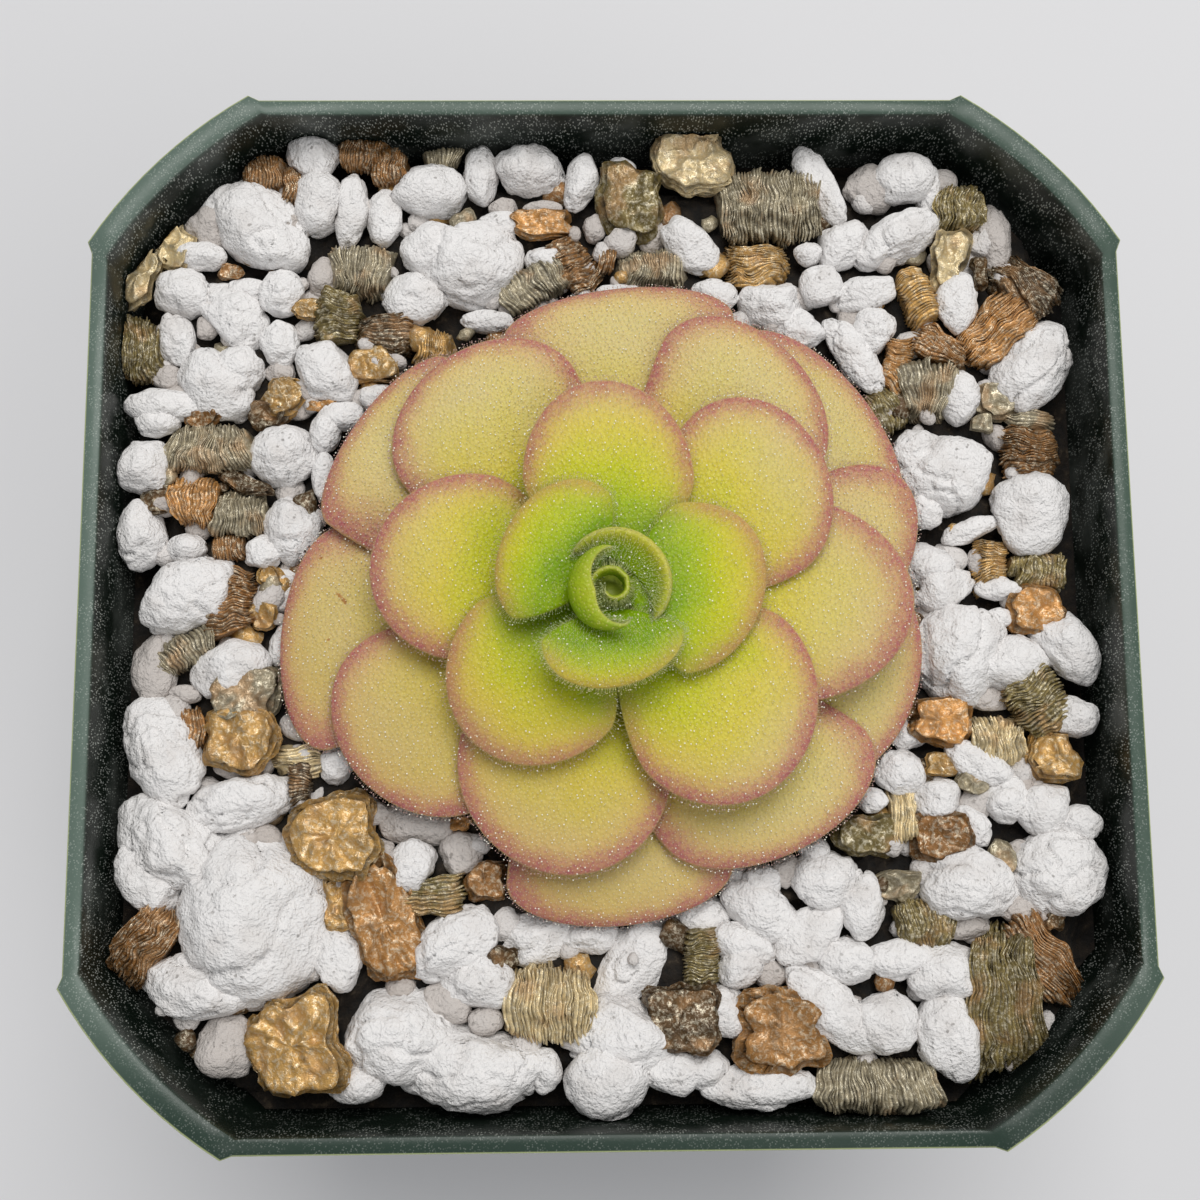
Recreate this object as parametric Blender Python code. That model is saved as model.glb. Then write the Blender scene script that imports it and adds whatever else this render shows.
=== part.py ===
"""Butterwort in a square nursery pot.

The plant is a flat rosette of twenty-four fleshy leaves round a short conical crown. It stands in a coarse
mix of perlite and vermiculite that fills a plastic pot with cut corners. Lengths below are in millimetres,
in the pot's frame: the middle of its foot is the origin, +Z is up and +Y is the rosette's upper side as seen
from above. MM turns them into metres when a mesh is made.
"""

import math
import random

import bmesh
import bpy
from mathutils import Vector

MM = 0.001
CLEAR = 0.3

# Pot
RIM_Z = 76.0
RIM_HALF = 43.5
RIM_BAND = 1.45
CORNER_CUT = 13.1
CORNER_SWELL = 1.1
CORNER_PROUD = 0.35
CORNER_STEP = 0.6
ARC_STEPS = 5
FOOT_HALF = 29.5
FOOT_WIDTH = 3.5
FOOT_LIFT = 2.0
FLOOR = 1.5
WALL = 1.2
COLLAR_Z = 62.0
COLLAR_HALF = 42.5
NECK_HALF = 40.6
DRAIN_RADIUS = 3.2
DRAIN_SPREAD = 17.5
INNER_HALF = RIM_HALF - RIM_BAND

# Mix of perlite and vermiculite, whose bed lies this far below the rim
BED_Z = RIM_Z - 6.0
BED_TOP_HALF = INNER_HALF - CLEAR - 0.07
CROWN_HOLE_RADIUS = 4.75
CROWN_HOLE_Z = RIM_Z - 9.35
UNDER_LEAF_ROOM = 0.45
SEED = 24
GRAIN_ROOT = 1.2
LUMP_SPOKES = 6
BIG_GRAIN = 4.5
SMALL_GRAIN = 3.0
WALL_MARGIN = 0.35
BLOCK_SPOKES = 5
LEAF_ROWS = 12
LEAF_COLUMNS = 60
LEAF_REACH = 1.6

# Rosette
AXIS_X, AXIS_Y = -0.2, -0.2
LEAF_SPOKES = 18
LEAF_RINGS = (0.5, 0.85, 1.0)
CENTRE_RADIUS = 1.5
BASE_TAPER = 0.55

# Each blade: heading in degrees, reach, half width, share of the reach where it is widest, sideways bend of
# the tip, radius of its foot on the crown, and the heights of foot and tip over the rim. Innermost first.
BLADES = (
    (60, 4.6, 4.5, 0.18, 0.0, 1.9, 6.1, 7.4),
    (-86, 7.6, 5.5, 0.20, -0.7, 2.5, 5.8, 6.8),
    (142, 9.7, 6.3, 0.33, -0.9, 2.7, 5.2, 5.4),
    (3, 12.7, 6.8, 0.36, 1.5, 2.8, 5.0, 4.2),
    (-134, 15.8, 7.4, 0.43, 0.1, 3.0, 2.2, 2.4),
    (89, 17.7, 6.9, 0.49, 0.5, 3.1, 3.7, 4.0),
    (-42, 20.1, 8.3, 0.55, -0.8, 3.2, 2.2, 3.0),
    (35, 21.2, 7.8, 0.66, 1.3, 3.3, 2.1, 3.1),
    (165, 19.6, 7.8, 0.56, 0.6, 3.5, 0.0, 1.8),
    (-106, 22.4, 8.8, 0.58, 0.6, 3.6, -1.5, 0.0),
    (0, 25.1, 8.6, 0.52, 0.0, 3.7, 0.7, 1.1),
    (124, 24.7, 8.7, 0.71, -0.6, 3.8, -1.6, 0.2),
    (52, 26.2, 8.4, 0.76, 2.6, 4.0, -1.1, 0.6),
    (-146, 24.9, 8.5, 0.69, -1.2, 4.1, -3.1, -1.8),
    (-56, 25.6, 9.4, 0.76, 4.1, 4.2, -3.4, -1.4),
    (4, 26.6, 7.2, 0.70, 5.8, 4.3, -2.0, -1.1),
    (94, 27.4, 9.9, 0.86, -4.0, 4.5, -2.8, -1.8),
    (144, 26.4, 8.8, 0.87, -1.1, 4.6, -3.3, -2.1),
    (180, 27.5, 9.4, 0.83, 3.5, 4.7, -4.4, -3.8),
    (39, 28.8, 10.5, 0.80, 1.2, 4.8, -3.2, -3.2),
    (-16, 27.1, 10.0, 0.70, 0.5, 5.0, -4.4, -3.8),
    (-86, 26.3, 9.4, 0.83, -1.0, 5.1, -4.4, -3.8),
)
FIRST_BLADE = 3

# Crown: radius at each height over the rim
CROWN_PROFILE = ((-9.0, 3.2), (-6.2, 4.4), (-4.4, 4.4), (-2.0, 3.2), (1.0, 2.4), (4.0, 1.9), (5.0, 1.3))
CROWN_SPOKES = 12

# Colours, roughness
POT_GREEN = (0.016, 0.040, 0.031, 1.0)
MIX_TAN = (0.52, 0.47, 0.40, 1.0)
LEAF_GREEN = (0.36, 0.48, 0.02, 1.0)
LEAF_YELLOW = (0.68, 0.56, 0.14, 1.0)
CROWN_GREEN = (0.20, 0.30, 0.03, 1.0)

# Grains that show, as seen from above: place x, y, long side, short side and turn in degrees. The dusty
# ones are perlite too and lie lower.
PERLITE = (
    (-26, 41.5, 4.5, 4, 0), (-35.5, 38, 3.5, 3.5, -20), (-30.5, 34, 9.5, 6.5, -50), (-25.5, 36.5, 6, 4, 90),
    (-22.5, 36, 6, 3, 85), (-19.5, 35, 5, 3, 90), (-15.5, 37.5, 6.5, 5, 0), (-36, 31.5, 5, 2.5, -5),
    (-37, 28, 5, 4, 0), (-28.5, 28, 4, 4, 0), (-32.5, 26, 6.5, 4.5, -45), (-28.5, 23.5, 4, 3, 90),
    (-24.5, 21, 5.5, 5, -45), (-37.5, 24, 4.5, 3, 105), (-32, 21, 4, 4, 0), (-34, 20, 6.5, 5, -50),
    (-38.5, 18, 6.5, 3, 0), (-39, 16.5, 4, 2.5, 0), (-17, 27.5, 5, 4.5, 0), (-15.5, 32, 5, 4.5, 0),
    (-12, 31, 8, 7.5, 0), (-9, 34.5, 4.5, 2, 0), (-20, 18.5, 3, 2.5, 0), (-31.5, 28.5, 3.5, 2, 0),
    (-23, 17, 4, 2.5, 0), (-11, 39, 5, 3, 90), (-7, 39.5, 6, 4.5, 0), (-2, 38.5, 5, 3, 75),
    (1.5, 39.5, 2.5, 2, 0), (7.5, 32.5, 6, 3.5, -50), (-5.5, 31, 3, 2.5, 0), (1, 28, 4, 1.5, 0),
    (9.5, 27.5, 4.5, 3, 0), (14.5, 27, 5.5, 4, 0), (-10, 25.5, 4.5, 2, 0), (19, 38, 7.5, 3, -65),
    (27, 38.5, 5.5, 4.5, 0), (29, 37, 3.5, 2, 90), (21, 32.5, 5, 3.5, 40), (26, 33, 8.5, 4, 30),
    (18, 31.5, 2.5, 2, 0), (19, 28.5, 4, 3.5, 0), (23, 28, 5.5, 3, 12), (31, 27, 5, 3.5, 80),
    (37.5, 21.5, 8.5, 6, 50), (23.5, 24.5, 4, 3.5, 90), (21.5, 22.5, 8, 3, -55), (17, 24.5, 3.5, 3.5, 0),
    (31, 18.5, 4.5, 3.5, 90), (15, 25.5, 2, 1.5, 0), (-40, 12.5, 5, 4.5, 15), (-28, 13.5, 5.5, 5, 0),
    (-40, 6.5, 5.5, 4, 90), (-36, 5.5, 3.5, 2.5, 0), (-36, 1.5, 8.5, 6, 20), (-27, 7, 5.5, 4.5, 90),
    (-29.5, 5, 3, 3, 0), (-28, 2, 4, 3.5, 0), (-24.5, 15.5, 3.5, 2.5, 90), (-24.5, 11.5, 4.5, 2, 90),
    (-32, -5, 6.5, 4.5, 20), (-27.5, -2.5, 4.5, 2.5, 60), (-37.5, -12, 9.5, 5.5, -65), (29.5, 11.5, 8, 6.5, 0),
    (27, 13.5, 4, 4, 0), (36.5, 8, 7, 6.5, -50), (27.5, 8.5, 3.5, 3, 90), (31, 6.5, 4.5, 2, 20),
    (27.5, 3.5, 4.5, 3.5, 0), (28.5, 1.5, 5, 4, 0), (33.5, 1.5, 4, 2, 0), (30, -4, 9, 7.5, 90),
    (34.5, -5, 6, 4.5, 0), (39, -3.5, 7, 4.5, -55), (39.5, -9.5, 4, 3.5, 0), (33.5, -1, 2.5, 1.5, 0),
    (25.5, -10.5, 3.5, 3, 0), (-31, -16, 8, 4.5, 10), (-36.5, -19.5, 10, 6.5, -30), (-38.5, -22.5, 6.5, 4, -40),
    (-29.5, -25.5, 14.5, 12.5, 90), (-34, -31, 8.5, 6, 0), (-22.5, -29, 5, 4, 90), (-17.5, -35, 9, 7, 0),
    (-11, -38, 11, 6.5, 0), (-21, -39, 4.5, 3, 0), (-16.5, -21.5, 4, 4, 0), (-23, -13, 3, 3, 0),
    (-13, -28, 8, 5, 35), (-11, -31, 5.5, 4.5, 0), (-6.5, -27.5, 6.5, 5, 0), (-2, -27.5, 4.5, 3, 0),
    (2, -29.5, 11, 5, 60), (-0.5, -38.5, 7, 6.5, 0), (1, -35.5, 8.5, 6, 0), (7.5, -26, 5, 4, 0),
    (12.5, -25.5, 7, 4, -30), (11, -28, 5.5, 3, -20), (10.5, -30, 3.5, 3.5, 0), (9, -33.5, 4, 4, 0),
    (16.5, -27.5, 7, 3.5, 45), (5, -38.5, 5, 3.5, 0), (7.5, -38, 4, 3, 0), (12, -39.5, 9.5, 3.5, 0),
    (-5.5, -38, 3.5, 2.5, 90), (11, -22.5, 3.5, 2, 0), (31, -13.5, 6, 3, -25), (33.5, -16.5, 4, 3.5, 0),
    (36.5, -17.5, 4.5, 4, 0), (27.5, -16.5, 4, 3.5, 0), (30.5, -18.5, 3.5, 2.5, -60), (39.5, -18.5, 3.5, 3, 0),
    (37.5, -22.5, 7.5, 6.5, 0), (29.5, -23.5, 8, 6.5, 0), (18, -23, 5.5, 4.5, 0), (21, -25, 5.5, 3.5, 90),
    (24, -29.5, 5.5, 3.5, 0), (19.5, -29.5, 5, 3.5, 0), (27.5, -30.5, 6, 4.5, 0), (27.5, -35.5, 6.5, 5, 90),
    (18, -33.5, 9.5, 4.5, -40), (22.5, -34.5, 5, 5, 0), (24.5, -14, 4, 3.5, 0), (22, -16.5, 2.5, 2, 0),
    (12.5, -23, 3, 3, 0), (17, -20.5, 2.5, 2, 0),
)
DUSTY_PERLITE = (
    (-35, 34.5, 4, 4, 0), (-35, 25, 2, 2, 0), (-38.5, 20.5, 3, 2, 0), (-25, 29.5, 4, 2.5, 90),
    (-28.5, 21, 2.5, 2, 0), (-5.5, 36, 3.5, 1.5, 0), (-9, 36, 2.5, 2, 0), (-1, 34, 2.5, 2, 90),
    (-4, 29.5, 2.5, 2, 90), (24, 38, 4.5, 4, 0), (34.5, 33, 6, 3.5, 90), (-38.5, -5, 5.5, 3.5, 90),
    (-36, -7, 2.5, 1.5, 0), (32.5, -8, 3.5, 2, 0), (-31.5, -36, 5, 5, 0), (-16, -18, 6, 4, 0),
    (-20.5, -17, 4, 2.5, 0), (-13.5, -33, 4, 3.5, 0), (-30, -19.5, 3.5, 2, 0), (-31.5, -13, 3.5, 2.5, 0),
    (-19.5, -21, 3.5, 3.5, 0), (-12.5, -20.5, 3.5, 3.5, 0), (13, -30.5, 2.5, 2.5, 0), (34.5, -21, 2.5, 2, 0),
    (34.5, -25.5, 4, 2.5, 0), (29.5, -27, 4, 2, 0), (14.5, -22, 2.5, 2.5, 0),
)
VERMICULITE = (
    (-30.5, 39, 4, 3.5, 0), (-27.5, 38, 3.5, 2, 90), (-21.5, 41, 4, 3, 0), (-19, 39.5, 3, 3, 0),
    (-39, 33.5, 4, 3, 75), (-41, 29.5, 6, 3, 75), (-40.5, 23, 5.5, 3.5, 90), (-21.5, 30, 5.5, 5, 0),
    (-23.5, 26, 4.5, 4.5, 0), (-33, 30, 2, 1.5, 0), (-20.5, 21.5, 4.5, 3.5, 0), (-28, 18.5, 3.5, 3.5, 0),
    (-19.5, 24.5, 5, 3, 0), (-26, 26.5, 2.5, 2, 0), (-15, 23, 3.5, 3.5, 0), (-25, 18, 2.5, 1, 0),
    (-14.5, 40.5, 3, 2, 0), (-35, 17, 3.5, 2, 0), (-29.5, 17, 3.5, 2.5, 0), (7.5, 40, 6.5, 6.5, 0),
    (2, 36, 6.5, 5.5, 90), (14.5, 36, 9, 6.5, 0), (-5.5, 34.5, 6, 2.5, 0), (-2.5, 30.5, 5, 3.5, -55),
    (4, 30, 6.5, 4, 0), (13, 30.5, 5.5, 4, 0), (-6.5, 28.5, 5.5, 3.5, 30), (-12.5, 34, 3, 2, 90),
    (0, 31, 2.5, 1.5, 90), (31.5, 35.5, 4.5, 4, 0), (30.5, 31, 5.5, 3.5, 80), (27.5, 27.5, 5, 3, -70),
    (37, 28.5, 6.5, 4, -50), (34, 24.5, 7, 4.5, 40), (29, 23, 5, 3, -35), (25.5, 21.5, 5, 2.5, 78),
    (28, 19, 5, 4.5, 90), (34, 18, 4, 3, 0), (24, 17.5, 4, 3.5, 0), (33, 29.5, 3.5, 1.5, 90),
    (37, 16.5, 4, 1.5, 0), (-34.5, 14, 8.5, 4, 0), (-35.5, 9.5, 4, 4, 0), (-31.5, 8.5, 5, 4, 0),
    (-32.5, 5.5, 3, 2.5, 0), (-32.5, 1, 6, 4.5, 90), (-29.5, -0.5, 2.5, 2.5, 0), (-36, -3.5, 5, 3, 25),
    (-30.5, -7, 5.5, 4.5, 0), (-38.5, 9.5, 3, 2.5, 0), (-31, 11, 5, 1.5, -25), (-31, -11, 6.5, 6, 0),
    (-35, -10, 3.5, 2, 90), (-29, 3, 2, 1.5, 0), (-26.5, -12.5, 4.5, 2.5, 0), (37, 13.5, 5, 4.5, 0),
    (32.5, 16, 2, 1.5, 0), (33, 3.5, 4.5, 3, 90), (37.5, 3, 4, 3.5, 0), (35.5, 3.5, 2.5, 2, 0),
    (36.5, -0.5, 5, 4, 0), (36.5, -8, 5, 5, 0), (28, -10, 5, 4, 0), (33, -11.5, 4.5, 4, 0),
    (37.5, -13, 4.5, 4, 0), (25.5, -1.5, 2.5, 2, 0), (-23.5, -19, 7.5, 6.5, 0), (-18.5, -26, 10.5, 5.5, -70),
    (-22.5, -24, 5, 2.5, 90), (-38.5, -27.5, 7, 4, 55), (-26, -35.5, 8.5, 8, 0), (-26, -14.5, 3.5, 2, 90),
    (-15, -24, 6, 3, 0), (-12.5, -18, 1.5, 1.5, 0), (-10.5, -23, 3.5, 3.5, 0), (-31, -32.5, 2.5, 1.5, 0),
    (-5, -33, 7, 6, 0), (5.5, -34, 6, 5.5, 0), (7.5, -29.5, 5.5, 3, 90), (13.5, -35, 8, 7, 0),
    (-9, -29, 2.5, 2, 0), (24.5, -17.5, 5, 2.5, 90), (21.5, -19.5, 5.5, 4, 0), (27.5, -19.5, 5, 4, 0),
    (24, -23.5, 4, 3, 0), (26, -26.5, 4.5, 4, 0), (32, -33, 11, 5.5, 90), (35.5, -30, 7, 4.5, -45),
    (21.5, -39.5, 8.5, 4.5, 0), (30.5, -15, 3, 2, 0), (32.5, -21.5, 3.5, 2.5, 90), (37, -26.5, 2, 1.5, 0),
    (28, -13.5, 3, 2, 0),
)
LUMP_RISE = 0.9
LUMP_RISE_BY_SIDE = 0.34
HIGHEST_RISE = 5.0
DUSTY_RISE = 0.65
BLOCK_RISE = 0.9
BLOCK_RISE_BY_SIDE = 0.26
FILLER_STEP = 4.2
FILLER_SIDES = (2.2, 3.4)


def clear_scene():
    """Remove whatever the start scene holds."""
    for old in list(bpy.data.objects):
        bpy.data.objects.remove(old, do_unlink=True)


def finish(name, colour, roughness):
    """A plain material for one sub-part."""
    made = bpy.data.materials.new(name)
    made.use_nodes = True
    shader = made.node_tree.nodes["Principled BSDF"]
    shader.inputs["Base Color"].default_value = colour
    shader.inputs["Roughness"].default_value = roughness
    shader.inputs["Metallic"].default_value = 0.0
    return made


def solid(name, points, faces, material):
    """An object from points in millimetres and its faces, with normals made to point out."""
    mesh = bpy.data.meshes.new(name)
    mesh.from_pydata([Vector(point) * MM for point in points], [], faces)
    shell = bmesh.new()
    shell.from_mesh(mesh)
    bmesh.ops.recalc_face_normals(shell, faces=shell.faces)
    shell.to_mesh(mesh)
    shell.free()
    mesh.materials.append(material)
    mesh.shade_smooth()
    mesh.set_sharp_from_angle(angle=math.radians(40))
    made = bpy.data.objects.new(name, mesh)
    bpy.context.scene.collection.objects.link(made)
    return made


def combine(target, others, operation):
    """Join or cut a collection of objects in one Boolean, apply it and remove them."""
    tools = bpy.data.collections.new(target.name + "_tools")
    bpy.context.scene.collection.children.link(tools)
    for other in others:
        for holder in list(other.users_collection):
            holder.objects.unlink(other)
        tools.objects.link(other)
    step = target.modifiers.new(operation.title(), "BOOLEAN")
    step.operation = operation
    step.operand_type = "COLLECTION"
    step.collection = tools
    step.solver = "MANIFOLD"
    bpy.context.view_layer.update()
    graph = bpy.context.evaluated_depsgraph_get()
    joined = bpy.data.meshes.new_from_object(target.evaluated_get(graph), depsgraph=graph)
    target.modifiers.clear()
    target.data = joined
    for other in list(tools.objects):
        bpy.data.objects.remove(other, do_unlink=True)
    bpy.data.collections.remove(tools)


def pot_outline(half, proud):
    """One level of the pot: straight sides and swollen cut corners, the corners pushed out by proud."""
    cut = CORNER_CUT * half / RIM_HALF
    swell = CORNER_SWELL * half / RIM_HALF
    ring = []
    for quarter in range(4):
        turn = quarter * math.pi / 2
        start = Vector((half, half - cut))
        end = Vector((half - cut, half))
        side = [(half, -(half - cut) + CORNER_STEP, 0.0), (half, 0.0, 0.0), (half, half - cut - CORNER_STEP, 0.0)]
        arc = []
        for step in range(ARC_STEPS + 1):
            share = step / ARC_STEPS
            along = start.lerp(end, share)
            out = swell * 4 * share * (1 - share) + proud
            arc.append((along.x + out * math.sqrt(0.5), along.y + out * math.sqrt(0.5), 1.0))
        for x, y, corner in side + arc:
            ring.append((x * math.cos(turn) - y * math.sin(turn), x * math.sin(turn) + y * math.cos(turn), corner))
    return ring


def loft(levels):
    """Points and faces of a closed stack of pot outlines: each level is (z, half, proud, corner lift)."""
    points = []
    faces = []
    for z, half, proud, lift in levels:
        points += [(x, y, z + lift * corner) for x, y, corner in pot_outline(half, proud)]
    count = len(points) // len(levels)
    for level in range(len(levels) - 1):
        for spoke in range(count):
            after = (spoke + 1) % count
            a = level * count
            b = a + count
            faces.append((a + spoke, a + after, b + after, b + spoke))
    faces.append(tuple(range(count))[::-1])
    faces.append(tuple(range(len(points) - count, len(points))))
    return points, faces


def inner_half(z):
    """Half width of the pot's inside at a height."""
    floor_z = FOOT_LIFT + FLOOR
    low = FOOT_HALF - WALL + 0.6
    if z >= COLLAR_Z + 4:
        return INNER_HALF
    if z >= COLLAR_Z - 2:
        return NECK_HALF - WALL + (INNER_HALF - NECK_HALF + WALL) * (z - COLLAR_Z + 2) / 6
    return low + (NECK_HALF - WALL - low) * (z - floor_z) / (COLLAR_Z - 2 - floor_z)


def make_pot(material):
    """The pot: foot ring, tapered wall, collar, rim with prouder corners, and five drain holes."""
    floor_z = FOOT_LIFT + FLOOR
    levels = (
        (FOOT_LIFT, FOOT_HALF - FOOT_WIDTH - 0.6, 0, 0),
        (0.0, FOOT_HALF - FOOT_WIDTH, 0, 0),
        (0.0, FOOT_HALF, 0, 0),
        (1.5, FOOT_HALF + 0.8, 0, 0),
        (COLLAR_Z, NECK_HALF, 0, 0),
        (COLLAR_Z + 1.0, COLLAR_HALF, 0, 0),
        (RIM_Z - 1.2, RIM_HALF - 0.25, 0, 0.3),
        (RIM_Z - 0.6, RIM_HALF, CORNER_PROUD, 0.35),
        (RIM_Z, RIM_HALF - 0.2, CORNER_PROUD, 0.4),
        (RIM_Z, INNER_HALF + 0.15, 0, 0.3),
        (RIM_Z - 0.7, INNER_HALF, 0, 0),
        (COLLAR_Z + 4, INNER_HALF, 0, 0),
        (COLLAR_Z - 2, inner_half(COLLAR_Z - 2), 0, 0),
        (floor_z, inner_half(floor_z), 0, 0),
    )
    pot = solid("pot", *loft(levels), material)
    drains = []
    for x, y in ((0, 0), (1, 1), (-1, 1), (-1, -1), (1, -1)):
        bpy.ops.mesh.primitive_cylinder_add(
            vertices=16,
            radius=DRAIN_RADIUS * MM,
            depth=4 * FLOOR * MM,
            location=(x * DRAIN_SPREAD * MM, y * DRAIN_SPREAD * MM, floor_z * MM),
        )
        drains.append(bpy.context.object)
    combine(pot, drains, "DIFFERENCE")
    return pot


def leaf_outline(blade, angle):
    """Place on the rim of a blade laid flat: along it from the crown's axis, and across it."""
    heading, reach, half, widest, bend, foot, foot_z, tip_z = blade
    cosine = math.cos(angle)
    centre = max(CENTRE_RADIUS + widest * (reach - CENTRE_RADIUS), foot + 0.2)
    if cosine > 0:
        return centre, (reach - centre) * cosine, half * math.sin(angle)
    return centre, (centre - foot) * cosine, half * math.sin(angle) * (1 - BASE_TAPER * (-cosine) ** 1.4)


def blade_form(number):
    """How far a blade arches along its length, drops at its rim and cups across, and its thickness."""
    if number == FIRST_BLADE:
        return -0.2, 0.0, 1.0, 0.75
    if number == FIRST_BLADE + 1:
        return 0.3, 0.0, 0.9, 0.75
    if number < 11:
        return 0.4, 0.45, 0.0, 0.9
    if number < 14:
        return 0.6, 0.6, 0.0, 0.9
    return 0.6, 0.6, 0.0, 1.0


def blade_point(blade, number, share, angle):
    """Middle of a blade's thickness, in the pot's frame."""
    heading, reach, half, widest, bend, foot, foot_z, tip_z = blade
    arch, drop, cup, thickness = blade_form(number)
    centre, along, across = leaf_outline(blade, angle)
    x = centre + share * along
    y = share * across
    t = (x - foot) / (reach - foot)
    rise = foot_z * (1 - t) + tip_z * t + arch * 4 * t * (1 - t)
    rise += cup * (y / half) ** 2 - drop * share**2.5 * min(max(t * 2.2, 0.0), 1.0)
    y += bend * t * t
    turn = math.radians(heading)
    return Vector(
        (
            AXIS_X + x * math.cos(turn) - y * math.sin(turn),
            AXIS_Y + x * math.sin(turn) + y * math.cos(turn),
            RIM_Z + rise,
        )
    )


def hood_point(share, angle):
    """Middle of the second leaf, a hood that stands on the west side and leans over the bud."""
    across = share * math.cos(angle)
    up = 0.5 + 0.5 * share * math.sin(angle)
    turn = math.radians(192 - 106 * across)
    low = Vector((1.75, 5.55 + 2.2 * across**2))
    bulge = Vector((4.0 - 0.3 * across**2, 7.15 + 1.5 * across**2))
    top = Vector((1.6 + 1.3 * across**2, 8.95))
    place = low * (1 - up) ** 2 + bulge * 2 * up * (1 - up) + top * up**2
    return Vector((AXIS_X + place.x * math.cos(turn), AXIS_Y + place.x * math.sin(turn), RIM_Z + place.y))


def bud_point(share, angle):
    """Middle of the innermost leaf, rolled into a scroll round the axis."""
    wide = math.copysign(abs(math.cos(angle)) ** 0.6, math.cos(angle))
    tall = math.copysign(abs(math.sin(angle)) ** 0.6, math.sin(angle))
    across = share * wide
    up = 0.5 + 0.5 * share * tall
    turn = math.radians(35 + 152 * across)
    radius = 0.86 + 0.1 * up - 0.06 * across
    return Vector((AXIS_X + radius * math.cos(turn), AXIS_Y + radius * math.sin(turn), RIM_Z + 5.4 + 2.5 * up))


def make_leaf(name, place, thickness, spokes, rings, material):
    """A closed fleshy blade: the same triangles on both faces, meeting at a rounded rim."""
    middle = {}
    for ring, share in enumerate(rings):
        for spoke in range(spokes):
            middle[ring, spoke] = place(share, 2 * math.pi * spoke / spokes)
    centre = place(0.0, 0.0)
    points = []
    index = {}

    def normal(share, angle):
        near = place(share, angle)
        step = 0.02
        inward = place(max(share - step, 0.001), angle) - near
        around = place(share, angle + step) - place(share, angle - step)
        return around.cross(inward).normalized()

    for side in (1, -1):
        index[side, "c"] = len(points)
        up = normal(0.05, 0.0)
        points.append(centre + up * side * thickness / 2)
        for ring, share in enumerate(rings[:-1]):
            half_thick = thickness / 2 * math.sqrt(1 - share**6)
            for spoke in range(spokes):
                index[side, ring, spoke] = len(points)
                out = normal(share, 2 * math.pi * spoke / spokes)
                points.append(middle[ring, spoke] + out * side * half_thick)
    last = len(rings) - 1
    for spoke in range(spokes):
        index[1, last, spoke] = index[-1, last, spoke] = len(points)
        points.append(middle[last, spoke])
    faces = []
    for side in (1, -1):
        for spoke in range(spokes):
            after = (spoke + 1) % spokes
            faces.append((index[side, "c"], index[side, 0, spoke], index[side, 0, after])[::side])
            for ring in range(last):
                a = index[side, ring, spoke]
                b = index[side, ring + 1, spoke]
                c = index[side, ring + 1, after]
                d = index[side, ring, after]
                faces.append((a, b, c)[::side])
                faces.append((a, c, d)[::side])
    return solid(name, points, faces, material)


def make_leaves():
    """All twenty-four leaves, from the rolled bud outwards."""
    made = []
    green = Vector(LEAF_GREEN)
    yellow = Vector(LEAF_YELLOW)
    total = len(BLADES) + FIRST_BLADE - 1
    for number in range(1, total + 1):
        tone = tuple(green.lerp(yellow, number / total))
        material = finish(f"leaf_{number:02d}_skin", tone, 0.4)
        name = f"leaf_{number:02d}"
        if number == 1:
            made.append(make_leaf(name, bud_point, 0.62, LEAF_SPOKES, LEAF_RINGS, material))
        elif number == 2:
            made.append(make_leaf(name, hood_point, 0.7, LEAF_SPOKES, LEAF_RINGS, material))
        else:
            blade = BLADES[number - FIRST_BLADE]

            def place(share, angle, blade=blade, number=number):
                return blade_point(blade, number, share, angle)

            thickness = blade_form(number)[3]
            made.append(make_leaf(name, place, thickness, LEAF_SPOKES, LEAF_RINGS, material))
    return made


def make_crown(material):
    """The short conical stem that the leaves grow from, its foot in the mix."""
    points = []
    faces = []
    for z, radius in CROWN_PROFILE:
        for spoke in range(CROWN_SPOKES):
            turn = 2 * math.pi * spoke / CROWN_SPOKES
            points.append((AXIS_X + radius * math.cos(turn), AXIS_Y + radius * math.sin(turn), RIM_Z + z))
    for level in range(len(CROWN_PROFILE) - 1):
        for spoke in range(CROWN_SPOKES):
            after = (spoke + 1) % CROWN_SPOKES
            a = level * CROWN_SPOKES
            b = a + CROWN_SPOKES
            faces.append((a + spoke, a + after, b + after, b + spoke))
    faces.append(tuple(range(CROWN_SPOKES))[::-1])
    faces.append(tuple(range(len(points) - CROWN_SPOKES, len(points))))
    return solid("crown", points, faces, material)


def cell(x, y):
    """Square of the under-leaf map that holds a place."""
    return math.floor(x / LEAF_REACH), math.floor(y / LEAF_REACH)


def undersides():
    """Lowest underside of any blade over each square of a fine map."""
    found = {}
    for number, blade in enumerate(BLADES, FIRST_BLADE):
        half_thick = blade_form(number)[3] / 2
        for ring in range(LEAF_ROWS + 1):
            for spoke in range(LEAF_COLUMNS):
                place = blade_point(blade, number, ring / LEAF_ROWS, 2 * math.pi * spoke / LEAF_COLUMNS)
                key = cell(place.x, place.y)
                found[key] = min(found.get(key, RIM_Z), place.z - half_thick)
    return found


def room_over(x, y, leaves):
    """Highest a grain may stand at a place without coming near a leaf."""
    column, row = cell(x, y)
    near = [leaves.get((column + i, row + j), RIM_Z + 2.0) for i in (-1, 0, 1) for j in (-1, 0, 1)]
    return min(near) - UNDER_LEAF_ROOM


def inside_wall(x, y, margin=0.0):
    """The place moved, where it must be, to keep off the pot's sides and its cut corners."""
    half = BED_TOP_HALF - margin
    x = min(max(x, -half), half)
    y = min(max(y, -half), half)
    over = abs(x) + abs(y) - half * (2 - CORNER_CUT / RIM_HALF)
    if over > 0:
        x -= math.copysign(over / 2, x)
        y -= math.copysign(over / 2, y)
    return x, y


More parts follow.
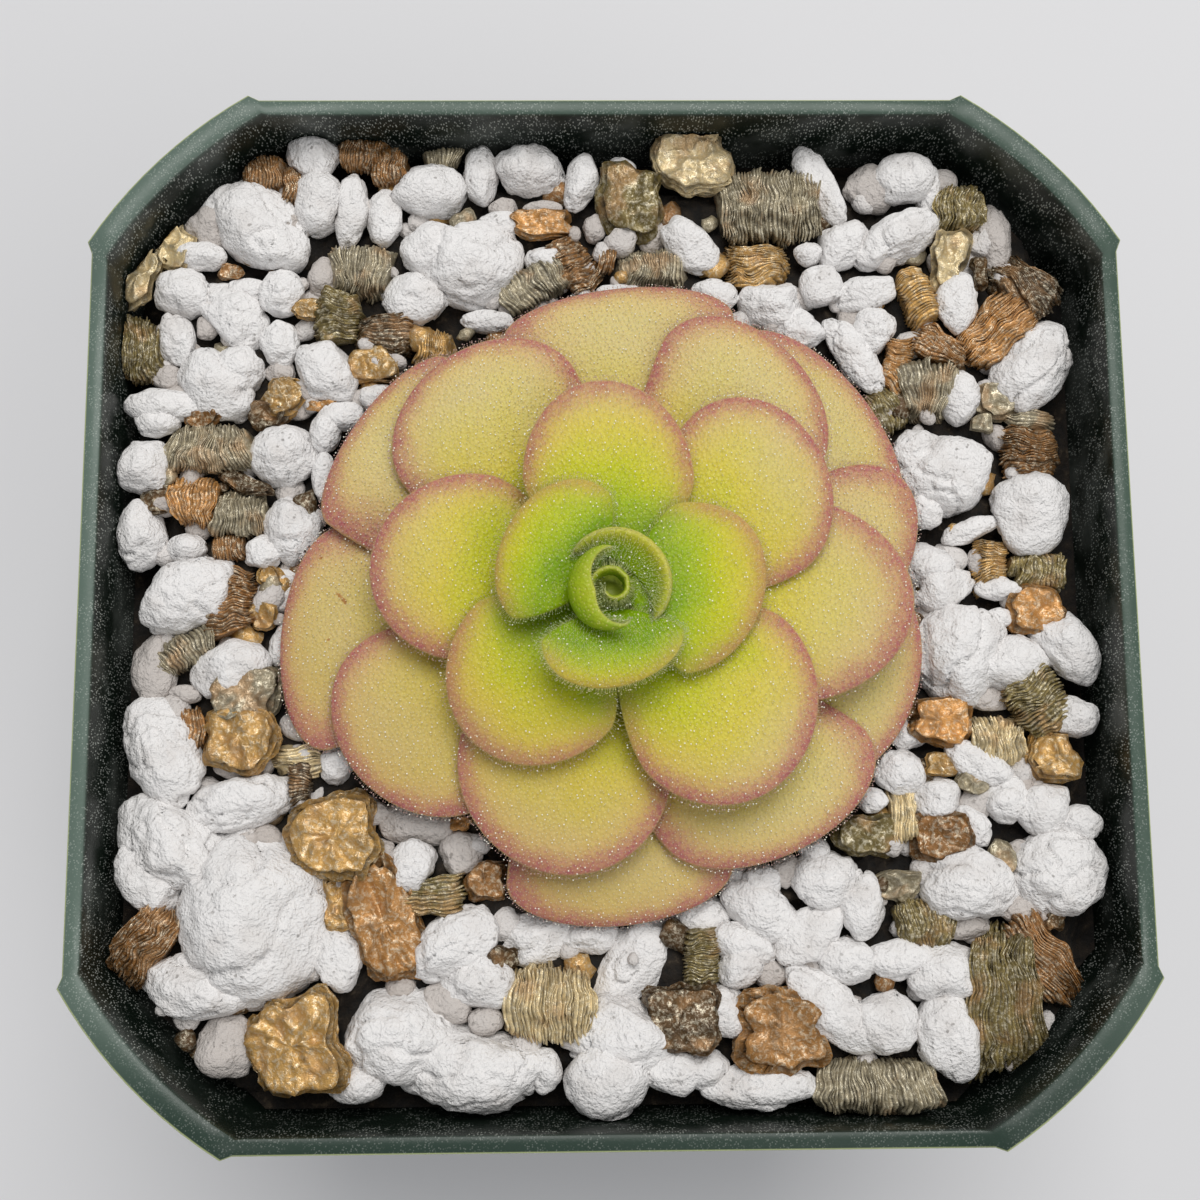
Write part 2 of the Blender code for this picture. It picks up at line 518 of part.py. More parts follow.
def ring_stack(name, grain, levels, spokes, wobble, material):
    """A closed grain from stacked uneven rings, each level (height, width share)."""
    x, y, long, short, degrees = grain
    x, y = inside_wall(x, y, short * WALL_MARGIN)
    turn = math.radians(degrees)
    spread = [1 + random.uniform(-wobble, wobble) for _ in range(spokes)]
    start = random.uniform(0, 2 * math.pi)
    points = []
    for z, share in levels:
        for spoke in range(spokes):
            angle = start + 2 * math.pi * spoke / spokes
            wide = share * spread[spoke]
            along = long / 2 * wide * math.cos(angle)
            across = short / 2 * wide * math.sin(angle)
            px = x + along * math.cos(turn) - across * math.sin(turn)
            py = y + along * math.sin(turn) + across * math.cos(turn)
            px, py = inside_wall(px, py)
            points.append((px, py, z - random.uniform(0, wobble) * (z - BED_Z)))
    faces = []
    for level in range(len(levels) - 1):
        for spoke in range(spokes):
            after = (spoke + 1) % spokes
            a = level * spokes
            b = a + spokes
            faces.append((a + spoke, a + after, b + after))
            faces.append((a + spoke, b + after, b + spoke))
    last = (len(levels) - 1) * spokes
    for spoke in range(1, spokes - 1):
        faces.append((0, spoke + 1, spoke))
        faces.append((last, last + spoke, last + spoke + 1))
    return solid(name, points, faces, material)


def rise_of(grain, wanted, leaves):
    """How far a grain stands over the bed: as much as wanted, or as the leaves over and beside it allow."""
    x, y, long, short, degrees = grain
    turn = math.radians(degrees)
    lowest = room_over(x, y, leaves)
    for spoke in range(8):
        angle = spoke * math.pi / 4
        along = long / 2 * math.cos(angle)
        across = short / 2 * math.sin(angle)
        px = x + along * math.cos(turn) - across * math.sin(turn)
        py = y + along * math.sin(turn) + across * math.cos(turn)
        lowest = min(lowest, room_over(px, py, leaves))
    return min(wanted, HIGHEST_RISE, lowest - BED_Z)


def lump(grain, share, leaves, material):
    """A perlite grain, its widest part just over the bed."""
    rise = rise_of(grain, (LUMP_RISE + LUMP_RISE_BY_SIDE * grain[3]) * share, leaves)
    levels = [(BED_Z - GRAIN_ROOT, 0.98), (BED_Z + rise * 0.5, 0.92), (BED_Z + rise, 0.54)]
    if grain[3] < SMALL_GRAIN:
        levels.pop(1)
    spokes = LUMP_SPOKES if grain[3] >= BIG_GRAIN else LUMP_SPOKES - 1
    return ring_stack("lump", grain, levels, spokes, 0.16, material)


def block(grain, leaves, material):
    """A vermiculite grain: one flat-topped piece with steep sides."""
    rise = rise_of(grain, BLOCK_RISE + BLOCK_RISE_BY_SIDE * grain[3], leaves)
    levels = ((BED_Z - GRAIN_ROOT, 0.98), (BED_Z + rise, 0.9))
    return ring_stack("block", grain, levels, BLOCK_SPOKES, 0.06, material)


def filler_places(leaves):
    """Small grains by a seeded rule wherever no measured grain lies and no leaf hangs close over."""
    known = PERLITE + DUSTY_PERLITE + VERMICULITE
    found = []
    steps = int(BED_TOP_HALF / FILLER_STEP)
    for column in range(-steps, steps + 1):
        for row in range(-steps, steps + 1):
            x = (column + random.uniform(-0.4, 0.4)) * FILLER_STEP
            y = (row + random.uniform(-0.4, 0.4)) * FILLER_STEP
            side = random.uniform(*FILLER_SIDES)
            turn = random.uniform(0, 180)
            near = any((x - other[0]) ** 2 + (y - other[1]) ** 2 < (0.3 * (other[2] + other[3])) ** 2 for other in known)
            if not near and room_over(x, y, leaves) > RIM_Z:
                found.append((x, y, side * 1.2, side, turn))
    return found


def make_media(material):
    """The mix: one bed that fills the pot, its grains rooted in it, with a plain hole for the crown."""
    random.seed(SEED)
    floor_z = FOOT_LIFT + FLOOR
    heights = (floor_z + CLEAR, COLLAR_Z - 2, COLLAR_Z + 4, BED_Z)
    bed = solid("media", *loft([(z, inner_half(z) - CLEAR - 0.07, 0, 0) for z in heights]), material)
    leaves = undersides()
    grains = [lump(grain, 1.0, leaves, material) for grain in PERLITE]
    grains += [lump(grain, DUSTY_RISE, leaves, material) for grain in DUSTY_PERLITE]
    grains += [block(grain, leaves, material) for grain in VERMICULITE]
    grains += [lump(grain, DUSTY_RISE, leaves, material) for grain in filler_places(leaves)]
    combine(bed, grains, "UNION")
    bpy.ops.mesh.primitive_cylinder_add(
        vertices=CROWN_SPOKES * 2,
        radius=CROWN_HOLE_RADIUS * MM,
        depth=(RIM_Z - CROWN_HOLE_Z) * 2 * MM,
        location=(AXIS_X * MM, AXIS_Y * MM, RIM_Z * MM),
    )
    combine(bed, [bpy.context.object], "DIFFERENCE")
    return bed


def main():
    clear_scene()
    make_pot(finish("pot_plastic", POT_GREEN, 0.35))
    make_crown(finish("crown_skin", CROWN_GREEN, 0.5))
    make_leaves()
    make_media(finish("mix_grains", MIX_TAN, 0.8))


if __name__ == "__main__":
    main()
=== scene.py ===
"""Looks of a potted butterwort: a rosette of fleshy gland-covered leaves in a coarse mix in a square pot.

Lengths are in millimetres in the pot's frame, the middle of its foot at the origin and +Z up. MM turns them
into metres when a mesh is made. Each sub-assembly is a class that builds its pieces and dresses them.
"""

from __future__ import annotations

import logging
import math
from dataclasses import dataclass, field
from enum import Enum

import bpy
import numpy as np
from mathutils import Euler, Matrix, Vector


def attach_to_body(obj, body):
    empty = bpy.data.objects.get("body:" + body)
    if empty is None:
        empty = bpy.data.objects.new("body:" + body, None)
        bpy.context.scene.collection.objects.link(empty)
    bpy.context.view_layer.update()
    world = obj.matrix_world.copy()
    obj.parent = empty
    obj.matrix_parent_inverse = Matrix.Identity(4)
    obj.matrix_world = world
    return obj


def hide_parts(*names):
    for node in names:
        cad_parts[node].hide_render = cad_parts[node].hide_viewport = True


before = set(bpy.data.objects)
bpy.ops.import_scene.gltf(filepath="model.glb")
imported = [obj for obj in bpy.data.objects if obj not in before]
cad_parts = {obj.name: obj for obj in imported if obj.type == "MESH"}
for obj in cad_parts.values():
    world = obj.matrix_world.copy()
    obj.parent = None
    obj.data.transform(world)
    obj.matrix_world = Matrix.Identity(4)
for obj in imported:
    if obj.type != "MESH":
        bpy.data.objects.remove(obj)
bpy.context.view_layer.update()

LOG = logging.getLogger("butterwort")
MM = 0.001

Array = np.ndarray
Colour = tuple[float, float, float, float]
Stops = tuple[tuple[float, Colour], ...]


def linear(code: str) -> Colour:
    """Scene-linear colour from a hex code of the display colour.

    Args:
        code: six hex digits.

    Returns:
        Red, green, blue and an alpha of one.
    """
    parts = [int(code[i : i + 2], 16) / 255 for i in (0, 2, 4)]
    out = [c / 12.92 if c <= 0.04045 else ((c + 0.055) / 1.055) ** 2.4 for c in parts]
    return out[0], out[1], out[2], 1.0


def deselect_all() -> None:
    """Leave nothing selected, so that an operator acts on the new piece alone."""
    for obj in list(bpy.context.selected_objects):
        obj.select_set(False)


def points_of(mesh: bpy.types.Mesh) -> Array:
    """Vertices of a mesh as rows of x, y, z.

    Args:
        mesh: the mesh that is read.

    Returns:
        One row a vertex, in the mesh's own unit.
    """
    flat = np.empty(len(mesh.vertices) * 3)
    mesh.vertices.foreach_get("co", flat)
    return flat.reshape(-1, 3)


def set_points(mesh: bpy.types.Mesh, points_mm: Array) -> None:
    """Move a mesh's vertices to places given in millimetres."""
    mesh.vertices.foreach_set("co", (points_mm * MM).ravel())
    mesh.update()


def faces_of(mesh: bpy.types.Mesh) -> Array:
    """Triangles of a mesh as rows of three vertex numbers.

    Args:
        mesh: the mesh that is read.

    Returns:
        One row a triangle.
    """
    mesh.calc_loop_triangles()
    flat = np.empty(len(mesh.loop_triangles) * 3, np.int32)
    mesh.loop_triangles.foreach_get("vertices", flat)
    return flat.reshape(-1, 3)


def take_apart(made: bpy.types.Object) -> tuple[Array, Array]:
    """Read a primitive that serves as a pattern, and remove it.

    Args:
        made: the primitive.

    Returns:
        Its points and its triangles.
    """
    points, faces = points_of(made.data), faces_of(made.data)
    bpy.data.objects.remove(made, do_unlink=True)
    return points, faces


def unit(rows: Array) -> Array:
    """Rows of x, y, z scaled to length one."""
    return rows / np.linalg.norm(rows, axis=1)[:, None]


def attach(mesh: bpy.types.Mesh, name: str, values: Array) -> None:
    """Store a number, or a colour, for each vertex, for a material to read.

    Args:
        mesh: the mesh that carries it.
        name: what the material calls it.
        values: one number a vertex, or a row of four.
    """
    kind = "FLOAT" if values.ndim == 1 else "FLOAT_COLOR"
    key = "value" if values.ndim == 1 else "color"
    made = mesh.attributes.new(name, kind, "POINT")
    made.data.foreach_set(key, values.astype(np.float32).ravel())


def piece_of(name: str, points_mm: Array, faces: Array, material: bpy.types.Material) -> bpy.types.Object:
    """A smooth piece from arrays of points and triangles.

    Args:
        name: the piece's name.
        points_mm: rows of x, y, z in millimetres.
        faces: rows of three vertex numbers.
        material: its finish.

    Returns:
        The object, linked to the scene.
    """
    mesh = bpy.data.meshes.new(name)
    mesh.vertices.add(len(points_mm))
    mesh.vertices.foreach_set("co", (points_mm * MM).ravel())
    mesh.loops.add(faces.size)
    mesh.loops.foreach_set("vertex_index", faces.astype(np.int32).ravel())
    mesh.polygons.add(len(faces))
    mesh.polygons.foreach_set("loop_start", np.arange(0, faces.size, 3, dtype=np.int32))
    mesh.update(calc_edges=True)
    mesh.validate()
    mesh.shade_smooth()
    mesh.materials.append(material)
    made = bpy.data.objects.new(name, mesh)
    bpy.context.scene.collection.objects.link(made)
    return made


def settle(piece: bpy.types.Object, slot: str, *nodes: str) -> None:
    """Make a piece ride with the plant, hide the solids it stands for, and report it.

    Args:
        piece: the finished piece.
        slot: the record's material slot; not used.
        nodes: the solids it replaces.
    """
    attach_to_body(piece, "root")
    if nodes:
        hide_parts(*nodes)
    LOG.info("%s: %d faces", piece.name, len(piece.data.polygons))


class Noise:
    """Smooth seeded noise over space, for shaping meshes."""

    SIDE = 32

    def __init__(self, seed: int) -> None:
        """Fill the lattice from a seed."""
        self.lattice = np.random.default_rng(seed).uniform(-1, 1, (self.SIDE,) * 3)

    def at(self, points: Array, cell: float) -> Array:
        """Noise between -1 and 1.

        Args:
            points: rows of x, y, z.
            cell: size of its features, in the points' unit.

        Returns:
            One value a point.
        """
        scaled = points / cell
        low = np.floor(scaled).astype(int)
        share = scaled - low
        share = share * share * (3 - 2 * share)
        total = np.zeros(len(points))
        for corner in range(8):
            bits = np.array([(corner >> k) & 1 for k in range(3)])
            weight = np.prod(np.where(bits, share, 1 - share), axis=1)
            i, j, k = ((low + bits) % self.SIDE).T
            total += weight * self.lattice[i, j, k]
        return total


@dataclass
class Heap:
    """Gathers many small shapes into one mesh."""

    points: list[Array] = field(default_factory=list)
    faces: list[Array] = field(default_factory=list)
    values: dict[str, list[Array]] = field(default_factory=dict)
    count: int = 0

    def add(self, points: Array, faces: Array, **values: Array) -> None:
        """Add one shape.

        Args:
            points: rows of x, y, z in millimetres.
            faces: rows of three vertex numbers of this shape.
            values: numbers or colours for each of its vertices.
        """
        self.points.append(points)
        self.faces.append(faces + self.count)
        for name, value in values.items():
            self.values.setdefault(name, []).append(value)
        self.count += len(points)

    def piece(self, name: str, material: bpy.types.Material) -> bpy.types.Object:
        """The gathered shapes as one object.

        Args:
            name: the piece's name.
            material: its finish.

        Returns:
            The object.
        """
        made = piece_of(name, np.vstack(self.points), np.vstack(self.faces), material)
        for key, value in self.values.items():
            attach(made.data, key, np.concatenate(value))
        return made


class Board:
    """A material and short ways to add nodes to it."""

    def __init__(self, name: str) -> None:
        """Start a material with its Principled shader.

        Args:
            name: the material's name.
        """
        self.material = bpy.data.materials.new(name)
        self.material.use_nodes = True
        self.tree = self.material.node_tree
        self.shader = self.tree.nodes["Principled BSDF"]
        self.place = self.node("ShaderNodeTexCoord").outputs["Object"]

    def node(self, kind: str, **settings: object) -> bpy.types.Node:
        """Add a node with its own settings.

        Args:
            kind: its type.
            settings: its properties.

        Returns:
            The node.
        """
        made = self.tree.nodes.new(kind)
        for key, value in settings.items():
            setattr(made, key, value)
        return made

    def feed(self, socket: bpy.types.NodeSocket, value: object) -> None:
        """Link a socket to another, or set its value.

        Args:
            socket: what is fed.
            value: a socket or a plain value.
        """
        if isinstance(value, bpy.types.NodeSocket):
            self.tree.links.new(value, socket)
        else:
            socket.default_value = value

    def set(self, **inputs: object) -> None:
        """Set or link the shader's sockets, an underscore for each space in a name."""
        for key, value in inputs.items():
            self.feed(self.shader.inputs[key.replace("_", " ")], value)

    def math(self, operation: str, *values: object) -> bpy.types.NodeSocket:
        """The result of a Math node.

        Args:
            operation: what it does.
            values: its inputs, sockets or numbers.

        Returns:
            Its output.
        """
        made = self.node("ShaderNodeMath", operation=operation)
        for socket, value in zip(made.inputs, values):
            self.feed(socket, value)
        return made.outputs[0]

    def attribute(self, name: str, output: str = "Fac") -> bpy.types.NodeSocket:
        """What a vertex attribute holds."""
        return self.node("ShaderNodeAttribute", attribute_name=name).outputs[output]

    def noise(self, scale: float, detail: float = 3.0, roughness: float = 0.5) -> bpy.types.NodeSocket:
        """Noise over the piece.

        Args:
            scale: features a metre.
            detail: how many finer layers it has.
            roughness: how strong those layers are.

        Returns:
            The noise, around a half.
        """
        made = self.node("ShaderNodeTexNoise")
        self.feed(made.inputs["Vector"], self.place)
        self.feed(made.inputs["Scale"], scale)
        self.feed(made.inputs["Detail"], detail)
        self.feed(made.inputs["Roughness"], roughness)
        return made.outputs["Fac"]

    def cells(self, scale: float, upright: float = 1.0) -> bpy.types.NodeSocket:
        """Distance from the middles of cells that fill the piece.

        Args:
            scale: cells a metre.
            upright: how many times as tall as wide a cell is.

        Returns:
            The distance, in cells.
        """
        stretch = self.node("ShaderNodeMapping")
        self.feed(stretch.inputs["Vector"], self.place)
        self.feed(stretch.inputs["Scale"], (1.0, 1.0, 1.0 / upright))
        made = self.node("ShaderNodeTexVoronoi")
        self.feed(made.inputs["Vector"], stretch.outputs[0])
        self.feed(made.inputs["Scale"], scale)
        return made.outputs["Distance"]

    def axis(self, letter: str) -> bpy.types.NodeSocket:
        """Place along an axis.

        Args:
            letter: X, Y or Z.

        Returns:
            The place, in metres.
        """
        made = self.node("ShaderNodeSeparateXYZ")
        self.feed(made.inputs[0], self.place)
        return made.outputs[letter]

    def span(
        self, value: object, low: float, high: float, to_low: float = 0.0, to_high: float = 1.0
    ) -> bpy.types.NodeSocket:
        """A value mapped from one range to another, smoothly and without passing its ends.

        Args:
            value: what is mapped.
            low: start of its range.
            high: end of its range.
            to_low: what the start becomes.
            to_high: what the end becomes.

        Returns:
            The mapped value.
        """
        made = self.node("ShaderNodeMapRange", interpolation_type="SMOOTHSTEP")
        for socket, item in zip(made.inputs, (value, low, high, to_low, to_high)):
            self.feed(socket, item)
        return made.outputs[0]

    def mix(self, share: object, first: object, second: object) -> bpy.types.NodeSocket:
        """Two colours mixed.

        Args:
            share: how much of the second.
            first: the colour at a share of zero.
            second: the colour at a share of one.

        Returns:
            The mixed colour.
        """
        made = self.node("ShaderNodeMix", data_type="RGBA")
        self.feed(made.inputs[0], share)
        self.feed(made.inputs[6], first)
        self.feed(made.inputs[7], second)
        return made.outputs[2]

    def ramp(self, value: object, stops: Stops) -> bpy.types.NodeSocket:
        """A colour read from a ramp.

        Args:
            value: where it is read.
            stops: places on the ramp and their colours.

        Returns:
            The colour.
        """
        made = self.node("ShaderNodeValToRGB")
        band = made.color_ramp
        while len(band.elements) < len(stops):
            band.elements.new(0.5)
        for element, (place, colour) in zip(band.elements, stops):
            element.position = place
            element.color = colour
        self.feed(made.inputs[0], value)
        return made.outputs[0]

    def bump(
        self, height: object, distance_mm: float, strength: float = 1.0, under: object = None
    ) -> bpy.types.NodeSocket:
        """A bumped normal.

        Args:
            height: what raises the surface.
            distance_mm: how far it raises it.
            strength: share of the effect.
            under: a bumped normal that this one goes over.

        Returns:
            The normal.
        """
        made = self.node("ShaderNodeBump")
        self.feed(made.inputs["Height"], height)
        self.feed(made.inputs["Distance"], distance_mm * MM)
        self.feed(made.inputs["Strength"], strength)
        if under is not None:
            self.feed(made.inputs["Normal"], under)
        return made.outputs[0]


@dataclass(frozen=True)
class PotPlastic:
    """Finish of the pot: dark green satin plastic, with white dust on the inside.

    The rim band is lightened with painted light; the south side's rim is darker with painted shade and the west
    side's rim lighter with a painted reflection, over the stretches of Y and X given in metres.
    """

    green: str = "24332c"
    cloud: str = "1c2822"
    # deep is the painted shade of the inner wall.
    deep: str = "141d17"
    shade_rim: str = "2b3c33"
    light_rim: str = "4a5c51"
    painted_reflection_rim: str = "63746a"
    dust: str = "c9cfc8"
    # edge is the colour of a painted highlight line along the rim's outer edge.
    edge: str = "a9b27f"
    painted_shade_south: tuple[float, float] = (-0.042, -0.03)
    painted_reflection_west: tuple[float, float] = (-0.043, 0.0)
    speck_cells: float = 5200.0
    speck_height: float = 2.6
    specular: float = 0.28

    def material(self) -> bpy.types.Material:
        """The pot's material, with painted shade on the inner wall and painted light on the rim; the attribute
        inner is one on the inner wall and lit one on the rim.

        Returns:
            The material.
        """
        board = Board("pot_plastic")
        inner = board.attribute("inner")
        lit = board.attribute("lit")
        clouds = board.noise(90.0, 4.0)
        colour = board.mix(board.span(clouds, 0.35, 0.7, 0.0, 0.5), linear(self.green), linear(self.cloud))
        # Painted shade: the inner wall is mixed towards the dark deep colour.
        colour = board.mix(inner, colour, linear(self.deep))
        # Painted light on the rim band: lit lightens its top face, with painted shade on the south side's rim
        # and a painted reflection on the west side's rim.
        north = board.span(board.axis("Y"), *self.painted_shade_south)
        east = board.span(board.axis("X"), *self.painted_reflection_west)
        rim = board.mix(east, linear(self.painted_reflection_rim), linear(self.light_rim))
        rim = board.mix(north, linear(self.shade_rim), rim)
        colour = board.mix(board.span(lit, 0.0, 1.0, 0.0, 0.8), colour, rim)
        # Painted highlight: a thin pale line along the rim's outer edge, where lit passes one.
        colour = board.mix(board.span(lit, 1.0, 2.0), colour, linear(self.edge))
        specks = board.cells(self.speck_cells, self.speck_height)
        sparse = board.span(board.noise(420.0, 3.0), 0.36, 0.56)
        dust = board.math("MULTIPLY", board.span(specks, 0.16, 0.42, 1.0, 0.0), sparse)
        amount = board.math("ADD", board.math("MULTIPLY", inner, 0.6), board.span(lit, 0.0, 0.8, 0.06, 0.26))
        dust = board.math("MULTIPLY", dust, amount)
        # Dust is thinned on the south side, a painted shade there.
        dust = board.math("MULTIPLY", dust, board.span(north, 0.0, 1.0, 0.6, 1.0))
        colour = board.mix(dust, colour, linear(self.dust))
        # Dust haze on the inner wall, left off the south wall as painted shade.
        dust_haze_with_painted_shade = board.math("MULTIPLY", board.span(board.noise(150.0, 4.0), 0.45, 0.75, 0.0, 0.16), inner)
        dust_haze_with_painted_shade = board.math("MULTIPLY", dust_haze_with_painted_shade, north)
        colour = board.mix(dust_haze_with_painted_shade, colour, linear(self.dust))
        board.set(Base_Color=colour, Roughness=board.span(clouds, 0.3, 0.7, 0.28, 0.4))
        board.set(Specular_IOR_Level=self.specular)
        board.set(Normal=board.bump(board.noise(3500.0, 2.0), 0.02, 0.6))
        return board.material


@dataclass
class Pot:
    """The square nursery pot with cut corners."""

    arc_steps: int = 10
    side_runs: int = 8
    crease_degrees: float = 35.0
    drain_sides: int = 32
    drain_places: tuple[tuple[int, int], ...] = ((0, 0), (1, 1), (-1, 1), (-1, -1), (1, -1))

    RIM_Z = 76.0
    RIM_HALF = 43.5
    RIM_BAND = 1.45
    CORNER_CUT = 13.1
    CORNER_SWELL = 1.1
    CORNER_PROUD = 0.35
    CORNER_STEP = 0.6
    FOOT_HALF = 29.5
    FOOT_WIDTH = 3.5
    FOOT_LIFT = 2.0
    FLOOR = 1.5
    FLOOR_Z = FOOT_LIFT + FLOOR
    WALL = 1.2
    COLLAR_Z = 62.0
    COLLAR_HALF = 42.5
    NECK_HALF = 40.6
    FLARE_UP = 4.0
    FLARE_DOWN = 2.0
    WALL_LEAN = 0.6
    INNER_HALF = RIM_HALF - RIM_BAND
    DRAIN_RADIUS = 3.2
    DRAIN_SPREAD = 17.5
    DRAIN_REACH = 3.0
    GAP = 0.12

    @classmethod
    def inner_half(cls, z: float) -> float:
        """Half width of the pot's inside at a height.

        Args:
            z: the height over the ground.

        Returns:
            The half width between two flat sides.
        """
        low = cls.FOOT_HALF - cls.WALL + cls.WALL_LEAN
        high = cls.NECK_HALF - cls.WALL
        flare_z = cls.COLLAR_Z - cls.FLARE_DOWN
        if z >= cls.COLLAR_Z + cls.FLARE_UP:
            return cls.INNER_HALF
        if z >= flare_z:
            flare = cls.FLARE_UP + cls.FLARE_DOWN
            return high + (cls.INNER_HALF - high) * (z - cls.COLLAR_Z + cls.FLARE_DOWN) / flare
        return low + (high - low) * (z - cls.FLOOR_Z) / (flare_z - cls.FLOOR_Z)

    @classmethod
    def cut_corners(cls, x: Array, y: Array, half: float) -> tuple[Array, Array]:
        """Places in a square drawn in to the pot's cut corners."""
        over = np.maximum(np.abs(x) + np.abs(y) - half * (2 - cls.CORNER_CUT / cls.RIM_HALF), 0)
        return x - np.sign(x) * over / 2, y - np.sign(y) * over / 2

    @classmethod
    def inside(cls, x: Array, y: Array, margin: float) -> tuple[Array, Array]:
        """Places moved, where they must be, to stay inside the wall near the rim."""
        half = cls.INNER_HALF - cls.GAP - margin
        return cls.cut_corners(np.clip(x, -half, half), np.clip(y, -half, half), half)

    def outline(self, half: float, proud: float) -> Array:
        """One level of the pot.

        Args:
            half: half width between two flat sides.
            proud: how far the corner arcs stand out past the cut.

        Returns:
            Rows of x, y and a one on a corner arc, once round.
        """
        cut = self.CORNER_CUT * half / self.RIM_HALF
        swell = self.CORNER_SWELL * half / self.RIM_HALF
        ring = []
        for quarter in range(4):
            turn = quarter * math.pi / 2
            reach = half - cut - self.CORNER_STEP
            rows = [(half, -reach + 2 * reach * k / self.side_runs, 0.0) for k in range(self.side_runs + 1)]
            for step in range(self.arc_steps + 1):
                share = step / self.arc_steps
                out = (swell * 4 * share * (1 - share) + proud) * math.sqrt(0.5)
                rows.append((half - cut * share + out, half - cut * (1 - share) + out, 1.0))
            cosine, sine = math.cos(turn), math.sin(turn)
            ring += [(x * cosine - y * sine, x * sine + y * cosine, corner) for x, y, corner in rows]
        return np.array(ring)

    def levels(self) -> list[tuple[float, float, float, float, float, float]]:
        """Each level of the loft: z, half, proud, corner lift, inner and lit, the share of painted light on the
        rim.
        """
        rim, half, proud = self.RIM_Z, self.RIM_HALF, self.CORNER_PROUD
        neck, foot = self.COLLAR_Z, self.FOOT_HALF
        flare_z = neck - self.FLARE_DOWN
        return [
            (self.FOOT_LIFT, foot - self.FOOT_WIDTH - 0.6, 0, 0, 0, 0),
            (0.3, foot - self.FOOT_WIDTH - 0.1, 0, 0, 0, 0),
            (0.0, foot - self.FOOT_WIDTH + 0.2, 0, 0, 0, 0),
            (0.0, foot - 0.3, 0, 0, 0, 0),
            (0.3, foot, 0, 0, 0, 0),
            (1.5, foot + 0.6, 0, 0, 0, 0),
            (neck - 0.6, self.NECK_HALF, 0, 0, 0, 0),
            (neck, self.NECK_HALF + 0.15, 0, 0, 0, 0),
            (neck + 0.35, self.NECK_HALF + 1.3, 0, 0, 0, 0),
            (neck + 0.8, self.COLLAR_HALF - 0.1, 0, 0, 0, 0),
            (neck + 1.4, self.COLLAR_HALF, 0, 0, 0, 0),
            # From here lit sets the rim's painted light: one on its top face, above one towards the painted
            # highlight line at its outer edge.
            (rim - 1.5, half - 0.3, 0, 0.3, 0, 0.2),
            (rim - 1.2, half - 0.12, proud * 0.5, 0.32, 0, 0.6),
            (rim - 0.45, half, proud, 0.35, 0, 1),
            (rim - 0.2, half - 0.02, proud, 0.4, 0, 1.6),
            (rim - 0.06, half - 0.08, proud, 0.4, 0, 2),
            (rim, half - 0.22, proud, 0.4, 0, 1),
            (rim, self.INNER_HALF + 0.35, 0, 0.32, 0, 1),
            (rim - 0.1, self.INNER_HALF + 0.12, 0, 0.25, 0.3, 0.6),
            (rim - 0.4, self.INNER_HALF, 0, 0.1, 1, 0),
            (rim - 4, self.INNER_HALF, 0, 0, 1, 0),
            (neck + self.FLARE_UP, self.INNER_HALF, 0, 0, 1, 0),
            (flare_z, self.inner_half(flare_z), 0, 0, 1, 0),
            (self.FLOOR_Z, self.inner_half(self.FLOOR_Z), 0, 0, 1, 0),
        ]

    def tube(self, count: int, levels: int) -> bpy.types.Object:
        """A closed upright tube of radius one: a disc extruded by one for each further level, and capped.

        Args:
            count: points on each level.
            levels: how many levels it has.

        Returns:
            The tube.
        """
        deselect_all()
        bpy.ops.mesh.primitive_circle_add(vertices=count, radius=1.0, fill_type="TRIFAN")
        made = bpy.context.object
        bpy.ops.object.mode_set(mode="EDIT")
        bpy.ops.mesh.select_mode(type="EDGE")
        bpy.ops.mesh.select_all(action="DESELECT")
        bpy.ops.mesh.select_non_manifold()
        for _ in range(levels - 1):
            bpy.ops.mesh.extrude_region_move(TRANSFORM_OT_translate={"value": (0, 0, 1)})
        bpy.ops.mesh.edge_face_add()
        bpy.ops.mesh.poke()
        bpy.ops.mesh.select_all(action="SELECT")
        bpy.ops.mesh.normals_make_consistent(inside=False)
        bpy.ops.object.mode_set(mode="OBJECT")
        return made

    def build(self) -> None:
        """Extrude the pot level by level, draw each level to its place, cut the drain holes and dress it."""
        levels = self.levels()
        rings = [self.outline(half, proud) for _, half, proud, *_ in levels]
        count = len(rings[0])
        pot = self.tube(count, len(levels))
        pot.name = "pot_body"
        tube = points_of(pot.data)
        level = np.round(tube[:, 2]).astype(int)
        spoke = np.round(np.arctan2(tube[:, 1], tube[:, 0]) / (2 * math.pi) * count).astype(int) % count
        points = np.array(rings)[level, spoke]
        table = np.array(levels, float)[level]
        points[:, 2] = table[:, 0] + table[:, 3] * points[:, 2]
        points[np.hypot(tube[:, 0], tube[:, 1]) < 0.5, :2] = 0
        set_points(pot.data, points)
        attach(pot.data, "inner", table[:, 4])
        attach(pot.data, "lit", table[:, 5])
        pot.data.materials.append(PotPlastic().material())
        self.drain(pot)
        deselect_all()
        pot.select_set(True)
        bpy.context.view_layer.objects.active = pot
        bpy.ops.object.shade_smooth_by_angle(angle=math.radians(self.crease_degrees))
        settle(pot, "pot", "pot")

    def drain(self, pot: bpy.types.Object) -> None:
        """Cut the five drain holes through the floor.

        Args:
            pot: the pot without them.
        """
        for x, y in self.drain_places:
            deselect_all()
            at = (x * self.DRAIN_SPREAD * MM, y * self.DRAIN_SPREAD * MM, self.FLOOR_Z * MM)
            radius = self.DRAIN_RADIUS * MM
            depth = 2 * self.DRAIN_REACH * MM
            bpy.ops.mesh.primitive_cylinder_add(
                vertices=self.drain_sides, radius=radius, depth=depth, location=at
            )
            cutter = bpy.context.object
            deselect_all()
            bpy.context.view_layer.objects.active = pot
            pot.select_set(True)
            step = pot.modifiers.new("drain", "BOOLEAN")
            step.operation = "DIFFERENCE"
            step.object = cutter
            bpy.ops.object.modifier_apply(modifier=step.name)
            bpy.data.objects.remove(cutter, do_unlink=True)


